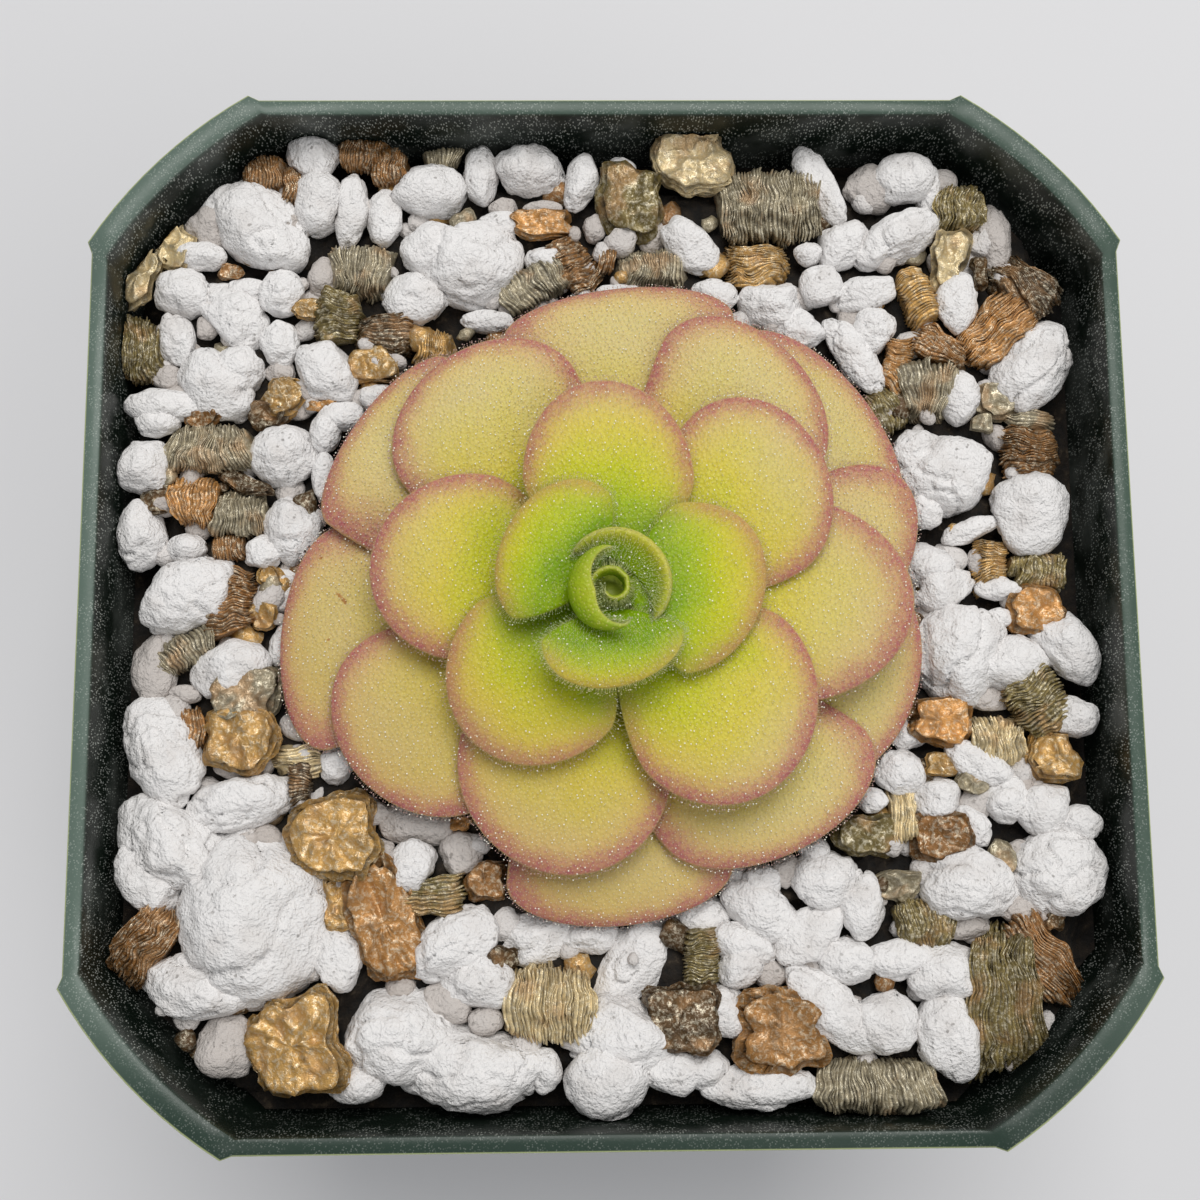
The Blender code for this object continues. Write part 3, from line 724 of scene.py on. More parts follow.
@dataclass(frozen=True)
class LeafSkin:
    """Finish of the leaves: green to pale yellow, mauve towards the rim, waxy and a little see-through."""

    green: str = "7ea004"
    grass: str = "9eb308"
    lime: str = "bdbf16"
    yellow: str = "cec047"
    pale: str = "cfbe7e"
    gold: str = "b28a34"
    mauve: str = "ac6468"
    soft_rim: str = "d0a470"
    rim_glow: str = "cfc67c"
    scar: str = "a36a2c"
    dot: str = "efe39c"
    places: tuple[float, ...] = (0.0, 0.15, 0.35, 0.6, 1.0)
    roughness: float = 0.42
    specular: float = 0.32
    glow_share: float = 0.35
    glow_mm: float = 1.4
    glow_colour: tuple[float, float, float] = (1.0, 0.8, 0.25)
    grain_cells: float = 3700.0
    marks: tuple[tuple[float, ...], ...] = (
        (-22.45, 0.75, 0.8, 0.25, -52),
        (-24.3, 4.2, 0.2, 0.13, 20),
        (-23.5, -2.8, 0.16, 0.13, 0),
    )

    MARK_Z = 72.0
    MARK_DEPTH = 2.0

    def scarred(self, board: Board, skin: bpy.types.NodeSocket) -> bpy.types.NodeSocket:
        """The skin's colour with a short brown scar and two specks on an outer leaf.

        Args:
            board: the skin's board.
            skin: the colour without them.

        Returns:
            The colour with them.
        """
        for x, y, long, short, turn in self.marks:
            at = board.node("ShaderNodeMapping", vector_type="TEXTURE")
            board.feed(at.inputs["Vector"], board.place)
            board.feed(at.inputs["Location"], (x * MM, y * MM, self.MARK_Z * MM))
            board.feed(at.inputs["Rotation"], (0.0, 0.0, math.radians(turn)))
            board.feed(at.inputs["Scale"], (long * MM, short * MM, self.MARK_DEPTH * MM))
            far = board.node("ShaderNodeVectorMath", operation="LENGTH")
            board.feed(far.inputs[0], at.outputs[0])
            wander = board.span(board.noise(3000.0), 0.3, 0.7, -0.3, 0.3)
            ragged = board.math("ADD", far.outputs["Value"], wander)
            skin = board.mix(board.span(ragged, 0.6, 1.15, 0.85, 0.0), skin, linear(self.scar))
        return skin

    def stops(self) -> Stops:
        """Colours of the skin from green to ripe."""
        codes = (self.green, self.grass, self.lime, self.yellow, self.pale)
        return tuple((place, linear(code)) for place, code in zip(self.places, codes))

    def material(self) -> bpy.types.Material:
        """The skin's material; each leaf's attributes tell ripeness, distance from its rim, blush and warmth.

        Returns:
            The material.
        """
        board = Board("leaf_skin")
        ripe = board.attribute("ripe")
        rim = board.attribute("rim_mm")
        blush = board.attribute("blush")
        patches = board.noise(260.0, 3.0)
        ripe = board.math("ADD", ripe, board.span(patches, 0.3, 0.7, -0.06, 0.06))
        colour = board.mix(board.attribute("warm"), board.ramp(ripe, self.stops()), linear(self.gold))
        grain = board.cells(self.grain_cells)
        soft = board.math("MULTIPLY", board.span(rim, 0.0, 5.0, 0.42, 0.0), blush)
        colour = board.mix(soft, colour, linear(self.soft_rim))
        width = board.math("ADD", rim, board.span(grain, 0.0, 0.7, -0.5, 0.5))
        width = board.math("ADD", width, board.span(board.noise(500.0, 3.0), 0.3, 0.7, -0.25, 0.25))
        band = board.math("MULTIPLY", board.span(width, 0.2, 2.8, 1.0, 0.0), blush)
        speckle = board.span(board.noise(2400.0, 2.0), 0.35, 0.65, 0.7, 1.0)
        colour = board.mix(board.math("MULTIPLY", band, speckle), colour, linear(self.mauve))
        lip = board.span(rim, 0.0, 0.22, 0.3, 0.0)
        colour = board.mix(lip, colour, linear(self.rim_glow))
        colour = self.scarred(board, colour)
        dots = board.span(grain, 0.08, 0.36, 0.32, 0.0)
        colour = board.mix(dots, colour, linear(self.dot))
        board.set(Base_Color=colour, Roughness=self.roughness, Specular_IOR_Level=self.specular)
        board.set(Subsurface_Weight=self.glow_share, Subsurface_Scale=self.glow_mm * MM)
        board.set(Subsurface_Radius=self.glow_colour)
        uneven = board.bump(board.noise(900.0, 3.0), 0.06, 0.5)
        board.set(IOR=1.4, Normal=board.bump(grain, 0.08, 0.8, uneven))
        return board.material


@dataclass(frozen=True)
class GlandSkin:
    """Finish of the glands: pale stalks with clear glossy drops."""

    stalk: str = "e6e2b0"
    drop: str = "fffdf0"
    stalk_tint: float = 0.5
    drop_tint: float = 0.68

    def material(self) -> bpy.types.Material:
        """The glands' material; the attribute drop is one on the drops and two on those that sparkle.

        Returns:
            The material.
        """
        board = Board("gland_skin")
        drop = board.attribute("drop")
        tint = board.attribute("tint", "Color")
        stalk = board.mix(self.stalk_tint, linear(self.stalk), tint)
        colour = board.mix(drop, stalk, board.mix(self.drop_tint, linear(self.drop), tint))
        colour = board.mix(board.span(drop, 1.0, 2.0), colour, linear(self.drop))
        board.set(Base_Color=colour, Roughness=board.span(drop, 0.0, 1.0, 0.5, 0.08), IOR=1.4)
        return board.material


def swept(radius: Array, turn: Array, rise: Array, shift: tuple[float, float] = (0.0, 0.0)) -> Array:
    """Places round the crown's axis.

    Args:
        radius: distance from the axis.
        turn: heading, in radians.
        rise: height over the pot's rim.
        shift: how far the centre lies from the crown's axis.

    Returns:
        Rows of x, y, z in the pot's frame.
    """
    x = Rosette.AXIS_X + shift[0] + radius * np.cos(turn)
    y = Rosette.AXIS_Y + shift[1] + radius * np.sin(turn)
    return np.stack([x, y, Pot.RIM_Z + rise], axis=1)


def curved_section(
    low: tuple[Array, Array], bulge: tuple[Array, Array], top: tuple[Array, Array], up: Array
) -> tuple[Array, Array]:
    """Radius and height on a leaf's upright section, a curve drawn towards its bulge.

    Args:
        low: radius and height of its foot.
        bulge: radius and height that it is drawn towards.
        top: radius and height of its end.
        up: 0 at the foot and 1 at the end.

    Returns:
        Radius and height over the pot's rim.
    """
    radius, rise = (
        low[k] * (1 - up) ** 2 + bulge[k] * 2 * up * (1 - up) + top[k] * up**2 for k in (0, 1)
    )
    return radius, rise


def squared(wave: Array, power: float) -> Array:
    """A sine or cosine whose ends are made blunter by a power below one."""
    return np.sign(wave) * np.abs(wave) ** power


@dataclass(frozen=True)
class Blade:
    """A leaf's form: heading in degrees, reach, half width, share of the reach where it is widest, sideways
    bend of the tip, radius of its foot on the crown, and the heights of foot and tip over the rim. Then how far
    it arches up along its length, its rim drops at the tip and its sides turn up, and its thickness."""

    heading: float
    reach: float
    half: float
    widest: float
    bend: float
    foot: float
    foot_z: float
    tip_z: float
    arch: float = 0.6
    drop: float = 0.6
    cup: float = 0.0
    thickness: float = 1.0

    CENTRE = 1.5
    TAPER = 0.4
    TAPER_POWER = 1.4
    ROOT = 1.3
    LEAST_BACK = 0.9
    SHAKE = 0.28
    ROW_STEP = 0.87
    GLAND_EDGE = 0.985
    ROUNDS = 8

    def back(self) -> float:
        """Distance from the crown's axis to the end of the blade's foot, which is rooted in the crown."""
        return max(self.foot - self.ROOT, self.LEAST_BACK)

    def centre(self) -> float:
        """Distance of the blade's widest part from the crown's axis."""
        return max(self.CENTRE + self.widest * (self.reach - self.CENTRE), self.foot + 0.2)

    def taper(self, angle: Array) -> Array:
        """Share of the half width that is left towards the foot."""
        return 1 - self.TAPER * np.maximum(-np.cos(angle), 0) ** self.TAPER_POWER

    def flat(self, share: Array, angle: Array) -> tuple[Array, Array]:
        """Place on the blade laid flat.

        Args:
            share: 0 at its middle, 1 on its rim.
            angle: 0 towards the tip.

        Returns:
            Distance along it from the crown's axis, and across it.
        """
        cosine = np.cos(angle)
        centre = self.centre()
        ahead = np.where(cosine > 0, self.reach - centre, centre - self.back())
        return centre + share * ahead * cosine, share * self.half * np.sin(angle) * self.taper(angle)

    def shares(self, x: Array, y: Array) -> tuple[Array, Array]:
        """The share and angle of a place on the blade laid flat, which flat turns back into the place.

        Args:
            x: distance along the blade from the crown's axis.
            y: distance across it.

        Returns:
            Share and angle.
        """
        centre = self.centre()
        along = (x - centre) / np.where(x > centre, self.reach - centre, centre - self.back())
        angle = np.arctan2(y / self.half, along)
        for _ in range(self.ROUNDS):
            angle = np.arctan2(y / (self.half * self.taper(angle)), along)
        return np.hypot(along, y / (self.half * self.taper(angle))), angle

    def middle(self, share: Array, angle: Array) -> Array:
        """Middle of the blade's thickness, in the pot's frame.

        Args:
            share: 0 at its middle, 1 on its rim.
            angle: 0 towards the tip.

        Returns:
            Rows of x, y, z.
        """
        x, y = self.flat(share, angle)
        t = (x - self.foot) / (self.reach - self.foot)
        rise = self.foot_z * (1 - t) + self.tip_z * t + self.arch * 4 * t * (1 - t)
        rise = rise + self.cup * (y / self.half) ** 2 - self.drop * share**2.5 * np.clip(t * 2.2, 0, 1)
        y = y + self.bend * t * t
        turn = math.radians(self.heading)
        return np.stack(
            [
                Rosette.AXIS_X + x * math.cos(turn) - y * math.sin(turn),
                Rosette.AXIS_Y + x * math.sin(turn) + y * math.cos(turn),
                Pot.RIM_Z + rise,
            ],
            axis=1,
        )

    def along(self, share: Array, angle: Array) -> Array:
        """0 at the foot and 1 at the tip."""
        x, _ = self.flat(share, angle)
        return (x - self.foot) / (self.reach - self.foot)

    def rim_mm(self, share: Array) -> Array:
        """Rough distance from the rim."""
        return (1 - share) * min(self.half, self.reach - self.centre() + 2.0)

    def spread(self, spacing: float, rng: np.random.Generator) -> tuple[Array, Array]:
        """Places on an even, slightly shaken lattice over the blade.

        Args:
            spacing: distance between neighbours.
            rng: the random draws.

        Returns:
            Shares and angles.
        """
        xs = np.arange(self.foot, self.reach, spacing * self.ROW_STEP)
        ys = np.arange(-self.half - 1, self.half + 1, spacing)
        x, y = (a.ravel() for a in np.meshgrid(xs, ys, indexing="ij"))
        y = y + np.repeat(np.arange(len(xs)) % 2, len(ys)) * spacing / 2
        x = x + rng.uniform(-self.SHAKE, self.SHAKE, len(x)) * spacing
        y = y + rng.uniform(-self.SHAKE, self.SHAKE, len(x)) * spacing
        share, angle = self.shares(x, y)
        keep = share < self.GLAND_EDGE
        return share[keep], angle[keep]


@dataclass(frozen=True)
class Hood:
    """The second leaf, a hood that stands on the west side and leans over the bud."""

    thickness: float = 0.7
    size: float = 3.4

    def middle(self, share: Array, angle: Array) -> Array:
        """Middle of its thickness, in the pot's frame.

        Args:
            share: 0 at its middle, 1 on its rim.
            angle: 0 towards its clockwise end, a quarter turn at its top.

        Returns:
            Rows of x, y, z.
        """
        across = share * np.cos(angle)
        up = 0.5 + 0.5 * share * np.sin(angle)
        turn = np.radians(192 - 106 * across)
        low = (1.75, 5.55 + 2.2 * across**2)
        bulge = (4.3 - 0.4 * across**2, 7.4 + 1.3 * across**2)
        top = (1.15 + 1.6 * across**2, 8.6)
        radius, rise = curved_section(low, bulge, top, up)
        return swept(radius, turn, rise)

    def along(self, share: Array, angle: Array) -> Array:
        """0 at its lower margin and 1 at the upper one."""
        return 0.5 + 0.5 * share * np.sin(angle)

    def rim_mm(self, share: Array) -> Array:
        """Rough distance from the rim."""
        return (1 - share) * self.size / 2

    def spread(self, spacing: float, rng: np.random.Generator) -> tuple[Array, Array]:
        """Places wound evenly over the disc that the leaf is shaped from.

        Args:
            spacing: distance between neighbours.
            rng: the random draws, which this form doesn't need.

        Returns:
            Shares and angles.
        """
        count = int(self.size * 8.0 / spacing**2)
        number = np.arange(count) + 0.5
        return np.sqrt(number / count) * 0.98, number * math.pi * (3 - math.sqrt(5))


@dataclass(frozen=True)
class Bud(Hood):
    """The innermost leaf, rolled into a scroll round the axis."""

    thickness: float = 0.5
    size: float = 3.2
    blunt: float = 0.6
    shift: tuple[float, float] = (0.25, 0.15)

    def middle(self, share: Array, angle: Array) -> Array:
        """Middle of its thickness, from the share and the angle as in the hood."""
        out = 0.5 + 0.5 * share * squared(np.cos(angle), self.blunt)
        up = 0.5 + 0.5 * share * squared(np.sin(angle), self.blunt)
        turn = np.radians(195 + 400 * out)
        radius = 0.5 + 1.45 * out + 0.1 * up
        return swept(radius, turn, 5.4 + (2.0 + 0.3 * out) * up, self.shift)


@dataclass(frozen=True)
class Shell(Hood):
    """The third leaf, a thick lip round the north-east side of the bud."""

    thickness: float = 0.95
    size: float = 4.2
    blunt: float = 0.75

    def middle(self, share: Array, angle: Array) -> Array:
        """Middle of its thickness, from the share and the angle as in the hood."""
        across = share * squared(np.cos(angle), self.blunt)
        up = 0.5 + 0.5 * share * np.sin(angle)
        turn = np.radians(50 - 82 * across)
        low = (2.3 + 1.2 * across**2, 5.2 + 0.7 * across**2)
        bulge = (4.0 + 0.2 * across**2, 5.5 + 0.6 * across**2)
        top = (4.95 - 0.3 * across**2, 7.1 - 0.2 * across**2)
        radius, rise = curved_section(low, bulge, top, up)
        return swept(radius, turn, rise)


Form = Blade | Hood


@dataclass
class Rosette:
    """The crown and its twenty-four leaves with their glands."""

    blades: tuple[Blade, ...] = (
        Blade(-86, 7.6, 5.5, 0.36, -0.7, 2.5, 5.6, 6.8, 0.3, 0.0, 0.9, 0.85),
        Blade(142, 9.7, 6.3, 0.42, -0.9, 2.7, 5.2, 5.4, 0.4, 0.45, 0.0, 0.9),
        Blade(3, 12.7, 6.8, 0.40, 1.5, 2.8, 5.0, 4.2, 0.4, 0.45, 0.0, 0.9),
        Blade(-134, 15.8, 7.4, 0.43, 0.1, 3.0, 2.2, 2.4, 0.4, 0.45, 0.0, 0.9),
        Blade(89, 17.7, 6.9, 0.49, 0.5, 3.1, 3.7, 4.0, 0.4, 0.45, 0.0, 0.9),
        Blade(-42, 20.1, 8.3, 0.55, -0.8, 3.2, 2.2, 3.0, 0.4, 0.45, 0.0, 0.9),
        Blade(35, 21.2, 7.8, 0.66, 1.3, 3.3, 2.1, 3.1, 0.4, 0.45, 0.0, 0.9),
        Blade(165, 19.6, 7.8, 0.56, 0.6, 3.5, 0.0, 1.8, 0.6, 0.6, 0.0, 0.9),
        Blade(-106, 22.4, 8.8, 0.58, 0.6, 3.6, -1.5, 0.0, 0.6, 0.6, 0.0, 0.9),
        Blade(0, 25.1, 8.6, 0.52, 0.0, 3.7, 0.7, 1.1, 0.6, 0.6, 0.0, 0.9),
        Blade(124, 24.7, 8.7, 0.71, -0.6, 3.8, -1.6, 0.2),
        Blade(52, 26.2, 8.4, 0.76, 2.6, 4.0, -1.1, 0.6),
        Blade(-146, 24.9, 8.5, 0.69, -1.2, 4.1, -3.1, -1.8),
        Blade(-56, 25.6, 9.4, 0.76, 4.1, 4.2, -3.4, -1.4),
        Blade(4, 26.6, 7.2, 0.70, 5.8, 4.3, -2.0, -1.1),
        Blade(94, 27.4, 9.9, 0.86, -4.0, 4.5, -2.8, -1.8),
        Blade(144, 26.4, 8.8, 0.87, -1.1, 4.6, -3.3, -2.1),
        Blade(180, 27.5, 9.4, 0.83, 3.5, 4.7, -4.4, -3.8),
        Blade(39, 28.8, 10.5, 0.80, 1.2, 4.8, -3.2, -3.2),
        Blade(-16, 27.1, 10.0, 0.70, 0.5, 5.0, -4.4, -3.8),
        Blade(-86, 26.3, 9.4, 0.83, -1.0, 5.1, -4.4, -3.8),
    )
    spokes: int = 80
    rings: int = 30
    seed: int = 24
    well_under: float = 0.86
    gland_spacing: float = 0.4
    fringe_spacing: float = 0.186
    young_leaves: int = 4
    young_spacing: float = 0.72
    young_fringe: float = 0.1
    sunk: float = 0.03
    stalk_least: float = 0.014
    stalk_growth: float = 0.03
    sparkle_size: float = 0.072
    sparkle_sizes: tuple[float, float] = (0.073, 0.088)
    ripe_radii: tuple[float, ...] = (3, 5.5, 8, 12, 15, 19, 24)
    ripe_values: tuple[float, ...] = (0.0, 0.12, 0.28, 0.5, 0.67, 0.84, 1.0)

    stem_heights: tuple[float, ...] = (-9.0, -6.2, -4.4, -2.0, 1.0, 4.0, 5.0)
    stem_radii: tuple[float, ...] = (3.2, 4.4, 4.4, 3.2, 2.4, 1.9, 1.3)
    inner_leaves: int = 10
    gland_groups: tuple[tuple[str, int], ...] = (("inner", 8), ("middle", 13), ("outer", 24))

    AXIS_X = -0.2
    AXIS_Y = -0.2
    SLANT = (0.31, 0.87, 0.38)

    def forms(self) -> list[Form]:
        """Every leaf's form, innermost first."""
        return [Bud(), Hood(), Shell(), *self.blades]

    def leaf(self, number: int, form: Form, noise: Noise, material: bpy.types.Material) -> bpy.types.Object:
        """One leaf, shaped from a sphere whose equator is the leaf's rim.

        Args:
            number: its place from the middle outwards.
            form: its form.
            noise: unevenness of the skin.
            material: the skin.

        Returns:
            The leaf.
        """
        deselect_all()
        bpy.ops.mesh.primitive_uv_sphere_add(segments=self.spokes, ring_count=self.rings, radius=1.0)
        made = bpy.context.object
        made.name = f"leaf_{number:02d}_skin"
        ball = points_of(made.data)
        share = np.minimum(np.hypot(ball[:, 0], ball[:, 1]), 1.0)
        angle = np.arctan2(ball[:, 1], ball[:, 0])
        side = np.where(np.abs(ball[:, 2]) < 1e-5, 0.0, np.sign(ball[:, 2]))
        middle = form.middle(share, angle)
        out = self.outward(form, share, angle)
        half = self.half_thickness(form, share)
        points = middle + out * (side * half)[:, None]
        wave = noise.at(points + number, 5.0) * 0.12 + noise.at(points - number, 1.6) * 0.035
        points = points + out * (wave * np.clip(1 - share**8, 0.3, 1))[:, None]
        set_points(made.data, points)
        self.dress(made.data, number, form, share, angle)
        made.data.shade_smooth()
        made.data.materials.append(material)
        return made

    def half_thickness(self, form: Form, share: Array) -> Array:
        """Half a leaf's thickness, full over most of it and closing at the rim."""
        return form.thickness / 2 * np.sqrt(np.maximum(1 - share**6, 0))

    def outward(self, form: Form, share: Array, angle: Array) -> Array:
        """Normals of a leaf's middle surface, pointing to its upper side.

        Args:
            form: the leaf's form.
            share: 0 at its middle, 1 on its rim.
            angle: 0 towards the tip.

        Returns:
            Unit rows of x, y, z.
        """
        step = 0.01
        near = np.clip(share, 0.05, 1.0)
        inward = form.middle(near - step, angle) - form.middle(near, angle)
        around = form.middle(near, angle + step) - form.middle(near, angle - step)
        return unit(np.cross(around, inward))

    def age(self, number: int) -> float:
        """0 for the innermost leaf and 1 for the outermost."""
        return (number - 1) / (len(self.forms()) - 1)

    def dress(self, mesh: bpy.types.Mesh, number: int, form: Form, share: Array, angle: Array) -> None:
        """Store what the skin's material reads: ripeness, distance from the rim, blush and warmth.

        Args:
            mesh: the leaf's mesh.
            number: its place from the middle outwards.
            form: its form.
            share: each vertex's share.
            angle: each vertex's angle.
        """
        ripe, blush = self.looks(number, form, share, angle)
        attach(mesh, "ripe", ripe)
        attach(mesh, "rim_mm", form.rim_mm(share) * (1 + 1.5 * (1 - self.age(number)) ** 6))
        attach(mesh, "blush", blush)
        place = form.middle(share, angle)
        attach(mesh, "warm", np.clip((-0.6 * place[:, 0] - 0.8 * place[:, 1] - 3) / 22, 0, 1) * 0.42)

    def hidden(self, number: int, points: Array) -> Array:
        """Whether each point of a leaf lies well under the leaves above it, seen from over the pot.

        Args:
            number: the leaf's number.
            points: places on it.

        Returns:
            One truth a point.
        """
        covered = np.zeros(len(points), bool)
        for upper in self.forms()[3 : number - 1]:
            turn = math.radians(upper.heading)
            dx, dy = points[:, 0] - self.AXIS_X, points[:, 1] - self.AXIS_Y
            x = dx * math.cos(turn) + dy * math.sin(turn)
            y = -dx * math.sin(turn) + dy * math.cos(turn)
            t = np.clip((x - upper.foot) / (upper.reach - upper.foot), 0, 1)
            share, _ = upper.shares(x, y - upper.bend * t * t)
            covered |= (share < self.well_under) & (x > upper.foot)
        return covered

    def gland_template(self) -> tuple[Array, Array, Array]:
        """One gland of unit size: a slim pointed stalk and a drop of eight faces.

        Returns:
            Points, triangles, and a one for each point of the drop.
        """
        deselect_all()
        bpy.ops.mesh.primitive_cone_add(vertices=3, radius1=1.0, depth=1.0, end_fill_type="NOTHING")
        stalk, sides = take_apart(bpy.context.object)
        bpy.ops.mesh.primitive_cone_add(vertices=4, radius1=1.0, depth=1.0, end_fill_type="TRIFAN")
        drop, shell = take_apart(bpy.context.object)
        drop[:, 2] += 0.5
        drop[(np.hypot(drop[:, 0], drop[:, 1]) < 0.5) & (drop[:, 2] < 0.5), 2] = -1
        points = np.vstack([stalk + (0, 0, 0.5), drop + (0, 0, 1)])
        on_drop = np.repeat([0.0, 1.0], [len(stalk), len(drop)])
        return points, np.vstack([sides, shell + len(stalk)]), on_drop

    def plant_glands(
        self, heap: Heap, roots: Array, ways: Array, heights: Array, drops: Array, tints: Array
    ) -> None:
        """Add a gland at each root.

        Args:
            heap: what gathers them.
            roots: where they stand.
            ways: unit vectors they point along.
            heights: length of each stalk.
            drops: radius of each drop.
            tints: colour of the skin below each.
        """
        points, faces, drop = self.gland_template()
        side = unit(np.cross(ways, np.array(self.SLANT)))
        other = np.cross(ways, side)
        on_drop = drop > 0.5
        stalk_radius = self.stalk_least + heights * self.stalk_growth
        wide = np.where(on_drop, drops[:, None], stalk_radius[:, None])
        lifted = heights[:, None] + (points[:, 2] - 1) * drops[:, None]
        tall = np.where(on_drop, lifted, points[:, 2] * heights[:, None])
        placed = (
            roots[:, None, :]
            + side[:, None, :] * (points[:, 0] * wide)[:, :, None]
            + other[:, None, :] * (points[:, 1] * wide)[:, :, None]
            + ways[:, None, :] * tall[:, :, None]
        )
        count = len(roots)
        shifts = (np.arange(count) * len(points))[:, None, None]
        colour = np.repeat(tints, len(points), axis=0)
        shine = (drop[None, :] * np.where(drops > self.sparkle_size, 2.0, 1.0)[:, None]).ravel()
        heap.add(placed.reshape(-1, 3), (faces[None] + shifts).reshape(-1, 3), drop=shine, tint=colour)

    def looks(self, number: int, form: Form, share: Array, angle: Array) -> tuple[Array, Array]:
        """How ripe and how blushed a leaf is at places on it.

        Args:
            number: its place from the middle outwards.
            form: its form.
            share: the places' shares.
            angle: the places' angles.

        Returns:
            Ripeness and blush, each from 0 to 1.
        """
        place = form.middle(share, angle)
        out = np.hypot(place[:, 0] - self.AXIS_X, place[:, 1] - self.AXIS_Y)
        along = form.along(share, angle)
        ripe = np.interp(out, self.ripe_radii, self.ripe_values) + 0.3 * (along - 0.6)
        blush = np.clip(along * 2.4 - 0.25, 0, 1) * np.clip((self.age(number) - 0.03) * 3.2, 0.1, 1)
        return np.clip(ripe, 0, 1), blush

    def skin_tints(self, number: int, form: Form, share: Array, angle: Array) -> Array:
        """Rough colour of the skin below each gland.

        Args:
            number: the leaf's number.
            form: its form.
            share: the glands' shares.
            angle: the glands' angles.

        Returns:
            A row of four a gland.
        """
        ripe, blush = self.looks(number, form, share, angle)
        places = [place for place, _ in LeafSkin().stops()]
        colours = np.array([colour for _, colour in LeafSkin().stops()])
        skin = np.stack([np.interp(ripe, places, colours[:, k]) for k in range(4)], axis=1)
        near = np.clip(1 - form.rim_mm(share) / 1.7, 0, 1) * blush
        return skin + (np.array(linear(LeafSkin().mauve)) - skin) * near[:, None]

    def leaf_glands(self, heap: Heap, number: int, form: Form, rng: np.random.Generator) -> None:
        """Glands over a leaf's upper side, and a fringe round its rim.

        Args:
            heap: what gathers them.
            number: the leaf's number.
            form: its form.
            rng: the random draws.
        """
        age = self.age(number)
        length = 0.45 * (1 - age) ** 1.5 + 0.16
        self.upper_glands(heap, number, form, length, rng)
        self.fringe_glands(heap, number, form, length, rng)

    def upper_glands(
        self, heap: Heap, number: int, form: Form, length: float, rng: np.random.Generator
    ) -> None:
        """Glands over a leaf's upper side.

        Args:
            heap: what gathers them.
            number: the leaf's number.
            form: its form.
            length: how long their stalks are, about.
            rng: the random draws.
        """
        age = self.age(number)
        spacing = self.gland_spacing * (self.young_spacing if number <= self.young_leaves else 1.0)
        share, angle = form.spread(spacing, rng)
        roots = form.middle(share, angle)
        out = self.outward(form, share, angle)
        show = ~self.hidden(number, roots)
        share, angle, roots, out = share[show], angle[show], roots[show], out[show]
        roots = roots + out * (self.half_thickness(form, share) - self.sunk)[:, None]
        count = len(roots)
        ways = unit(out + rng.normal(0, 0.16, (count, 3)))
        heights = length * rng.uniform(0.7, 1.2, count)
        drops = rng.uniform(0.034, 0.056, count) + 0.014 * min(age * 3, 1)
        sparkling = rng.random(count) < 0.04 + 0.12 * min(age * 2, 1)
        drops = np.where(sparkling, rng.uniform(*self.sparkle_sizes, count), drops)
        self.plant_glands(heap, roots, ways, heights, drops, self.skin_tints(number, form, share, angle))

    def fringe_glands(
        self, heap: Heap, number: int, form: Form, length: float, rng: np.random.Generator
    ) -> None:
        """A fringe of glands round a leaf's rim.

        Args:
            heap: what gathers them.
            number: the leaf's number.
            form: its form.
            length: how long the stalks on its upper side are, about.
            rng: the random draws.
        """
        age = self.age(number)
        apart = self.young_fringe if number <= self.young_leaves else self.fringe_spacing
        turns = np.arange(0, 2 * math.pi, apart / max(form.rim_mm(np.zeros(1))[0], 1.5))
        turns = turns + rng.uniform(-0.01, 0.01, len(turns))
        edge = rng.uniform(0.985, 1.0, len(turns))
        roots = form.middle(edge, turns)
        show = ~self.hidden(number, roots)
        roots, turns, edge = roots[show], turns[show], edge[show]
        ways = unit(roots - form.middle(edge * 0.97, turns))
        ways = ways + self.outward(form, edge, turns) * rng.uniform(0.0, 1.1, len(turns))[:, None]
        ways = unit(ways + rng.normal(0, 0.15, ways.shape))
        heights = (length * 0.8 + 0.12) * rng.uniform(0.7, 1.2, len(turns))
        tints = self.skin_tints(number, form, edge, turns)
        drops = rng.uniform(0.036, 0.066 + 0.016 * min(age * 3, 1), len(turns))
        self.plant_glands(heap, roots, ways, heights, drops, tints)

    def crown(self) -> bpy.types.Object:
        """The short conical stem, shaped from a sphere.

        Returns:
            The stem.
        """
        deselect_all()
        bpy.ops.mesh.primitive_uv_sphere_add(segments=40, ring_count=28, radius=1.0)
        made = bpy.context.object
        made.name = "crown_stem"
        ball = points_of(made.data)
        low, high = self.stem_heights[0], self.stem_heights[-1]
        z = (ball[:, 2] + 1) / 2 * (high - low) + low
        ring = np.hypot(ball[:, 0], ball[:, 1])
        radius = np.interp(z, self.stem_heights, self.stem_radii) * np.minimum(ring * 2.2, 1.0)
        turn = np.arctan2(ball[:, 1], ball[:, 0])
        radius = radius * (1 - 0.03 * np.cos(turn * 5 + z * 2))
        set_points(made.data, swept(radius, turn, z))
        made.data.shade_smooth()
        board = Board("crown_skin")
        tone = board.ramp(board.noise(700.0), ((0.3, linear("7a8c1c")), (0.7, linear("a5b030"))))
        board.set(Base_Color=tone, Roughness=0.5, Normal=board.bump(board.noise(1500.0), 0.08))
        made.data.materials.append(board.material)
        return made

